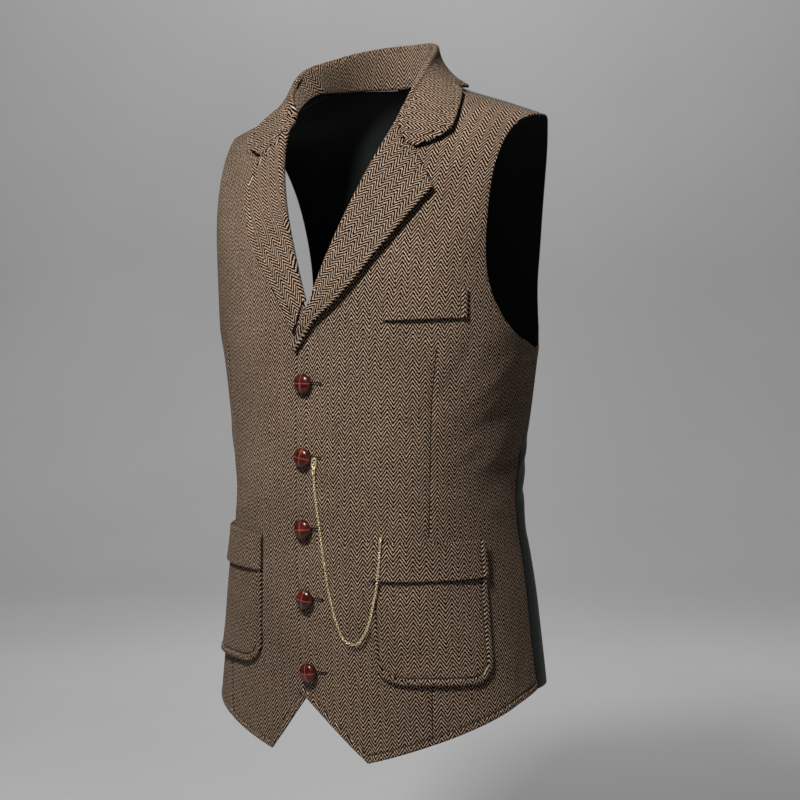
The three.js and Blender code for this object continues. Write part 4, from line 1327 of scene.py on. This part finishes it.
def make_collar():
    """The collar, all round the neck."""
    stations = COLLAR_FRONT + COLLAR_BACK
    near_end = EDGE_STEPS / 17
    further = np.linspace(near_end[-1], stations, round(84 * DETAIL))
    positions = np.concatenate([near_end[:-1], further])
    shares = leaf_shares(COLLAR_LEAF)
    left = [collar_row(1, s, shares) for s in positions]
    right = [collar_row(-1, s, shares) for s in positions[-2::-1]]
    middle = np.array(left + right)
    out = outward_normals(middle, (30, -10), normal(60.0, -20.0))
    folded = middle.shape[1] - len(shares)
    edges = [middle[0, folded:], middle[:, -1], middle[-1, ::-1][: len(shares)]]
    sink = gorge_sink(middle, folded, 0, shares) + gorge_sink(middle, folded, -1, shares)
    middle, near = puff_leaf(middle, out, folded, edges, sink)
    weave = collar_weave(middle, folded, np.concatenate([positions, positions[-2::-1]]))
    keep = np.ones(len(middle), bool)
    keep[:COLLAR_PLAIN_ROWS] = keep[-COLLAR_PLAIN_ROWS:] = False
    make_leaf("cloth_collar", middle, out, near, weave, folded, rounded(len(middle)),
              keep)


# Pockets

# Where stitches run, as shares down and across a hip pocket
SIDE_STITCHES = (0.28, 0.86)
FOOT_STITCHES = (0.13, 0.87)
POCKET_SIZE = (131, 140)
STRIP_SWELL = (1.3, 1.5)
POCKET_STAND = 1.2
TOP_STAND = 2.4
WELT_STAND = 2.0


def outer_end(middle):
    return middle[:, -1]


def whole_border(middle):
    return np.concatenate([middle[:, 0], middle[-1], middle[::-1, -1]])


def make_patch(node, side, angle, height, lift, thick, edge):
    """A flat layer on a front, with a stitched edge: gives the grids that its stitches are found on."""
    lift = lap_lift(side, trunk(angle, height)[..., 0]) + lift + POCKET_CLOTH / 2
    middle = cloth(angle, height, lift, creased=True)
    out = normal(angle, height)
    half = POCKET_CLOTH / 2 * thick
    near, _ = line_distance(middle, even_line(edge(middle), 1.0))
    middle = middle + out * swell(near, *STRIP_SWELL)[..., None]
    obj = shell(f"cloth_{node}", middle, out, half, grain(angle, height), [TWEED, TWEED])
    declare_cloth(obj)
    return middle, out, half, near


def outer_lines(grids, rows):
    """Lines that run in from the outer end of a patch, a third of the way across it."""
    third = grids[0].shape[1] // 3
    return [[g[i, ::-1][:third] for g in grids] for i in rows]


def patch_shares(height, width, step):
    """Shares down and across a patch, and how thick its cloth is at each place."""
    down, thick_down = spread(height, step)
    across, thick_across = spread(width, step)
    return down[:, None], across[None, :], thick_down[:, None] * thick_across


def pocket_angles(side, height):
    down = (height - POCKET_TOP) / (POCKET_BOTTOM[side] - POCKET_TOP)
    sides = POCKET_SIDES[side]
    return mix(*sides["inner"], down), mix(*sides["outer"], down)


def make_hip_pocket(side):
    name = NAMES[side]
    down, share, thick = patch_shares(POCKET_SIZE[1], POCKET_SIZE[0], 2.4)
    end = POCKET_BOTTOM[side]
    low = pocket_angles(side, end)
    width = math.radians(low[1] - low[0]) * POCKET_ARC_RADIUS
    inset = np.maximum(0, POCKET_CORNER - np.minimum(share, 1 - share) * width)
    bottom = end + POCKET_CORNER - np.sqrt(POCKET_CORNER**2 - np.minimum(inset, POCKET_CORNER) ** 2)
    height = mix(POCKET_TOP, bottom, down)
    inner, outer = pocket_angles(side, height)
    angle = side * mix(inner, outer, share)
    sag = (0.6 * np.sin(np.pi * down) + POCKET_STAND * smooth(down * 4 - 3)) * np.sin(np.pi * share)
    grids = make_patch(f"pocket_{name}", side, angle, height, LYING_GAP + sag, thick, whole_border)
    rows, columns = angle.shape
    below, corner = (int(rows * part) for part in SIDE_STITCHES)
    left = [[g[i, : columns // 3] for g in grids] for i in range(below, corner)]
    across = range(*(int(columns * part) for part in FOOT_STITCHES))
    foot = [[g[::-1, j][: rows // 3] for g in grids] for j in across]
    sew_inset(left + foot + outer_lines(grids, range(corner, below, -1)))


def make_strip(node, side, angle, height, lift, thick):
    """A strip with one stitched end, such as a pocket top or the welt."""
    grids = make_patch(node, side, angle, height, lift, thick, outer_end)
    sew_inset(outer_lines(grids, range(2, len(angle) - 2)))


def make_pocket_top(side):
    name = NAMES[side]
    down, share, thick = patch_shares(TOP_DEPTH, POCKET_SIZE[0], 2.4)
    height = POCKET_TOP - TOP_DEPTH * down
    inner, outer = pocket_angles(side, height)
    angle = side * (mix(inner, outer, share) + TOP_OVERHANG * (2 * share - 1))
    wander = 0.75 + 0.25 * np.sin(9 * share)
    sag = TOP_STAND * down**2 * wander * np.sqrt(np.sin(np.pi * share))
    make_strip(f"pocket_top_{name}", side, angle, np.broadcast_to(height, angle.shape),
               LYING_GAP + POCKET_CLOTH + TOP_GAP + sag, thick)


def make_welt():
    down, share, thick = patch_shares(28, 85, 2.0)
    x = mix(WELT["inner"], WELT["outer"], share)
    angle, height = front_place(x, mix(WELT["top"], WELT["bottom"], down) + WELT["rise"] * share)
    sag = WELT_STAND * down**2 * np.sqrt(np.sin(np.pi * share))
    make_strip("chest_welt", 1, angle, height, LYING_GAP + sag, thick)


# Buttons and buttonholes

BUTTON_HEIGHT = 9.2
BUTTON_FOOT = 2.2
SHANK = 3.0
BUTTON_BRIM = 1.6
QUARTER_PUFF = 0.35
BAND_HALF_WIDTH = 0.05


def axes_at(x, height, lift):
    """Centre, across, up and out of a small piece on the left front."""
    angle, place = front_place(x, height)
    centre = cloth(angle, place, lap_lift(1, x) + lift)
    out = normal(angle, place)
    across = unit(np.cross(np.array([0, 0, 1.0]), out))
    return centre, across, np.cross(out, across), out


def make_button(number, height, turn):
    """A domed leather button: four quarters between two crossing bands."""
    centre, across, up, out = axes_at(BUTTON_X, height, 0.3)
    turned = (across * math.cos(turn) + up * math.sin(turn), up * math.cos(turn) - across * math.sin(turn))
    count = 19
    half_axis = np.concatenate([[0, BAND_HALF_WIDTH, BAND_HALF_WIDTH + 0.035], np.linspace(0.17, 1, count)])
    axis = np.concatenate([-half_axis[:0:-1], half_axis])
    s, t = np.meshgrid(axis, axis)
    x = s * np.sqrt(1 - t * t / 2)
    y = t * np.sqrt(1 - s * s / 2)
    r = np.clip(np.hypot(x, y), 0, 1)
    brim = BUTTON_FOOT + BUTTON_BRIM
    dome = brim + (BUTTON_HEIGHT - brim) * np.sqrt(1 - (r * 0.985) ** 2.2)
    band = (np.abs(s) < BAND_HALF_WIDTH + 0.01) | (np.abs(t) < BAND_HALF_WIDTH + 0.01)
    quarter = QUARTER_PUFF * np.sqrt(np.clip(np.abs(np.sin(np.pi * s) * np.sin(np.pi * t)), 0, 1))
    top = dome + quarter + np.where(band, 0.12, -0.1)
    flat = x[..., None] * turned[0] + y[..., None] * turned[1]
    grid = centre + flat * BUTTON_RADIUS + top[..., None] * out
    points = list(grid.reshape(-1, 3))
    index = np.arange(len(points)).reshape(s.shape)
    faces = quads(index).tolist()
    between = np.abs(axis[1:] + axis[:-1]) / 2
    on_band = np.minimum(between[:, None], between[None, :]) < BAND_HALF_WIDTH
    slots = on_band.astype(int).ravel().tolist()
    rim = border(index).tolist()
    rim_angle = [math.atan2(*(points[k] - centre) @ np.stack([turned[1], turned[0]]).T) for k in rim]
    rings = ((BUTTON_RADIUS, 3.2), (BUTTON_RADIUS * 0.93, 2.3), (SHANK, BUTTON_FOOT), (SHANK, 0.0))
    for radius, level in rings:
        base = len(points)
        for a in rim_angle:
            spoke = turned[0] * math.cos(a) + turned[1] * math.sin(a)
            points.append(centre + spoke * radius + out * level)
        ring = list(range(base, base + len(rim)))
        for k in range(len(rim)):
            after = (k + 1) % len(rim)
            faces.append((rim[k], ring[k], ring[after], rim[after]))
        rim = ring
    faces.append(rim)
    slots += [0] * (len(faces) - len(slots))
    name = f"leather_button_{number}"
    obj = mesh_object(name, np.array(points), faces, [LEATHER, LEATHER_BAND], slots)
    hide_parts(f"button_{number}")


HOLE_START = -4.0
HOLE_END = 15.5
HOLE_SLIT = 0.35
HOLE_HALF_WIDTH = 1.9
BAR_HALF_WIDTH = 2.1


def make_buttonhole(height):
    """Close stitches round a slit, with a bar at its far end."""
    for x in np.linspace(HOLE_START + BUTTON_X, HOLE_END, 40):
        centre, across, up, out = axes_at(x, height, 0.1)
        for way in (up, -up):
            SEAMS.stitch(centre + way * HOLE_SLIT, centre + way * HOLE_HALF_WIDTH, out, 0.36)
    centre, across, up, out = axes_at(HOLE_END + 0.9, height, 0.15)
    for k in range(4):
        middle = centre + across * (k * 0.55 - 0.6)
        SEAMS.stitch(middle - up * BAR_HALF_WIDTH, middle + up * BAR_HALF_WIDTH, out, 0.38)


# Chain

LINK_PITCH = 2.5
LINK_SECTION = 8
LINK_TURN = math.pi / 4


def route_points():
    """The chain as a smooth line of close points, with the directions out of the cloth."""
    angle, place = front_place(CHAIN_ROUTE["x"], CHAIN_ROUTE["height"])
    spots = cloth(angle, place, lap_lift(1, CHAIN_ROUTE["x"]) + CHAIN_ROUTE["lift"])
    dense = []
    for k in range(len(spots) - 1):
        p0, p1 = spots[max(k - 1, 0)], spots[k]
        p2, p3 = spots[k + 1], spots[min(k + 2, len(spots) - 1)]
        for t in np.linspace(0, 1, 8, endpoint=False):
            bow = (2 * p0 - 5 * p1 + 4 * p2 - p3) * t * t + (3 * p1 - p0 - 3 * p2 + p3) * t**3
            dense.append(0.5 * (2 * p1 + (p2 - p0) * t + bow))
    dense.append(spots[-1])
    ways = normal(angle, place)
    at, known = np.linspace(0, 1, len(dense)), np.linspace(0, 1, len(angle))
    outs = np.stack([np.interp(at, known, ways[:, k]) for k in range(3)], -1)
    return np.array(dense), unit(outs)


# Length, width and half the wire's thickness of each oval ring, and its points round it and round the wire
LINK_SIZES = (4.1, CHAIN_WIDTH, 0.44, 16, LINK_SECTION)
HOOK_SIZES = (10.5, 6.2, 0.62, 24, 8)
RING_SIZES = (6.0, 4.2, 0.55, 18, 8)


def add_loop(points, faces, centre, along, side, length, width, wire, around, section):
    """A closed oval ring of round wire."""
    out = np.cross(along, side)
    base = len(points)
    straight = (length - width) / 2
    for a in np.arange(around) * 2 * math.pi / around:
        radial = along * math.cos(a) + side * math.sin(a)
        place = centre + radial * (width / 2 - wire) + along * straight * np.sign(round(math.cos(a), 6))
        for b in np.arange(section) * 2 * math.pi / section:
            points.append(place + (radial * math.cos(b) + out * math.sin(b)) * wire)
    for i in range(around):
        here, there = base + i * section, base + (i + 1) % around * section
        for j in range(section):
            after = (j + 1) % section
            faces.append((here + j, there + j, there + after, here + after))


def make_chain():
    """The watch chain of turned links, with its clasp: gives its length in metres."""
    dense, outs = route_points()
    both = even_line(np.concatenate([dense, outs], 1), LINK_PITCH)
    spots, ways = both[:, :3], unit(both[:, 3:])
    points, faces = [], []
    for k in range(len(spots)):
        along = unit(spots[min(k + 1, len(spots) - 1)] - spots[max(k - 1, 0)])
        flat_side = unit(np.cross(along, ways[k]))
        turn = LINK_TURN if k % 2 else -LINK_TURN
        side = unit(flat_side * math.cos(turn) + np.cross(along, flat_side) * math.sin(turn))
        add_loop(points, faces, spots[k], along, side, *LINK_SIZES)
    # The inner faces of each link's wire take the darkened gilt: painted shade for the dark gaps between the
    # links.
    inside = [int(abs(j - LINK_SECTION / 2) < 1.2) for j in range(LINK_SECTION)]
    slots = inside * (len(faces) // LINK_SECTION)
    chain = mesh_object("watch_chain_links", np.array(points), faces, [GILT, GILT_PAINTED_SHADE], slots)
    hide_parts("watch_chain")
    clasp_points, clasp_faces = [], []
    down = unit(spots[3] - spots[0])
    side = unit(np.cross(down, ways[1]))
    hook, ring = spots[0] + ways[0] * 0.6 + down * 2.5, spots[0] + ways[0] * 0.9 + down * 10.5
    add_loop(clasp_points, clasp_faces, hook, down, side, *HOOK_SIZES)
    add_loop(clasp_points, clasp_faces, ring, down, side, *RING_SIZES)
    clasp = mesh_object("watch_chain_clasp", np.array(clasp_points), clasp_faces, [GILT])
    path = spots * MM
    length = float(np.linalg.norm(np.diff(path, axis=0), axis=1).sum())
    return length


# Stage, camera and light

FLOOR_HEIGHT = -1.05
STAGE_DEPTH = 4.1
STAGE_CURVE = 0.9


def make_stage():
    """A pale floor that curves up into a plain wall behind the garment."""
    turn = math.radians(CAMERA_TURN[2])
    back = Vector((-math.sin(turn), math.cos(turn), 0))
    side = Vector((math.cos(turn), math.sin(turn), 0))
    foot = STAGE_DEPTH - STAGE_CURVE
    profile = [(-6.0, 0.0), (foot, 0.0)]
    for k in range(1, 13):
        a = k / 12 * math.pi / 2
        profile.append((foot + STAGE_CURVE * math.sin(a), STAGE_CURVE * (1 - math.cos(a))))
    profile.append((STAGE_DEPTH, 6.0))
    points, faces = [], []
    for depth, rise in profile:
        for way in (-7, 7):
            points.append(back * depth + side * way + Vector((0, 0, FLOOR_HEIGHT + rise)))
    for k in range(len(profile) - 1):
        faces.append((2 * k, 2 * k + 1, 2 * k + 3, 2 * k + 2))
    mesh = bpy.data.meshes.new("floor")
    mesh.from_pydata([tuple(p) for p in points], [], faces)
    mesh.materials.append(plain_material("floor", (0.56, 0.56, 0.565), 0.9))
    mesh.polygons.foreach_set("use_smooth", [True] * len(faces))
    place_object("floor", mesh)


def make_camera():
    data = bpy.data.cameras.new("camera")
    data.lens = CAMERA_LENS
    data.sensor_width = 36
    camera = place_object("camera", data)
    camera.location = CAMERA_PLACE
    camera.rotation_euler = [math.radians(a) for a in CAMERA_TURN]
    bpy.context.scene.camera = camera


CHEST_AIM = Vector((0, -0.05, -0.13))
MIDDLE_AIM = Vector((0, 0, -0.3))
BACKDROP = Vector((-2.1, 3.3, -0.5))
LIGHTS = (
    # name, azimuth, elevation, distance, size, power, colour, where it points
    ("key", 10, 39, 1.55, 0.22, 43, (1.0, 0.985, 0.955), CHEST_AIM),
    ("fill", -75, 15, 2.6, 1.6, 0.8, (0.95, 0.97, 1.0), MIDDLE_AIM),
    ("back_left", -150, 38, 2.4, 1.2, 8, (1.0, 1.0, 1.0), MIDDLE_AIM),
    ("back_right", 165, 30, 2.6, 1.4, 4, (1.0, 1.0, 1.0), MIDDLE_AIM),
    ("backdrop", 32, 55, 2.6, 3.0, 38, (1.0, 1.0, 1.0), BACKDROP),
)


def make_lights():
    for name, azimuth, elevation, distance, size, power_w, colour, aim in LIGHTS:
        data = bpy.data.lights.new(name, "AREA")
        data.size = size
        data.energy = power_w
        data.color = colour
        lamp = place_object(name, data)
        a, e = math.radians(azimuth), math.radians(elevation)
        way = Vector((math.sin(a) * math.cos(e), -math.cos(a) * math.cos(e), math.sin(e)))
        lamp.location = aim + way * distance
        lamp.rotation_euler = (-way).to_track_quat("-Z", "Y").to_euler()
    world = bpy.data.worlds.new("studio")
    world.use_nodes = True
    background = world.node_tree.nodes["Background"]
    background.inputs["Color"].default_value = (0.86, 0.88, 0.92, 1)
    background.inputs["Strength"].default_value = 0.06
    bpy.context.scene.world = world
    bpy.context.scene.view_settings.view_transform = "Standard"


make_camera()
chain_length = make_chain()
make_stage()
make_lights()
for side in (1, -1):
    make_front(side)
    make_back(side)
back_seam = np.linspace(BACK_HEM + 2, -BACK_NECK_DROP - 3, 80)
seam_tape("back_turnings", np.full(80, 180.0), back_seam, BACK_CLOTH + BACK_SEAM_DEPTH)
for side in (1, -1):
    make_lapel(side)
    make_hip_pocket(side)
    make_pocket_top(side)
make_collar()
make_welt()
for number, (height, turn) in enumerate(zip(BUTTON_HEIGHTS, BUTTON_TURNS), 1):
    make_button(number, height, math.radians(turn))
    make_buttonhole(height)
TOPSTITCH.make("topstitching", THREAD)
SEAMS.make("buttonholes", DARK_THREAD)
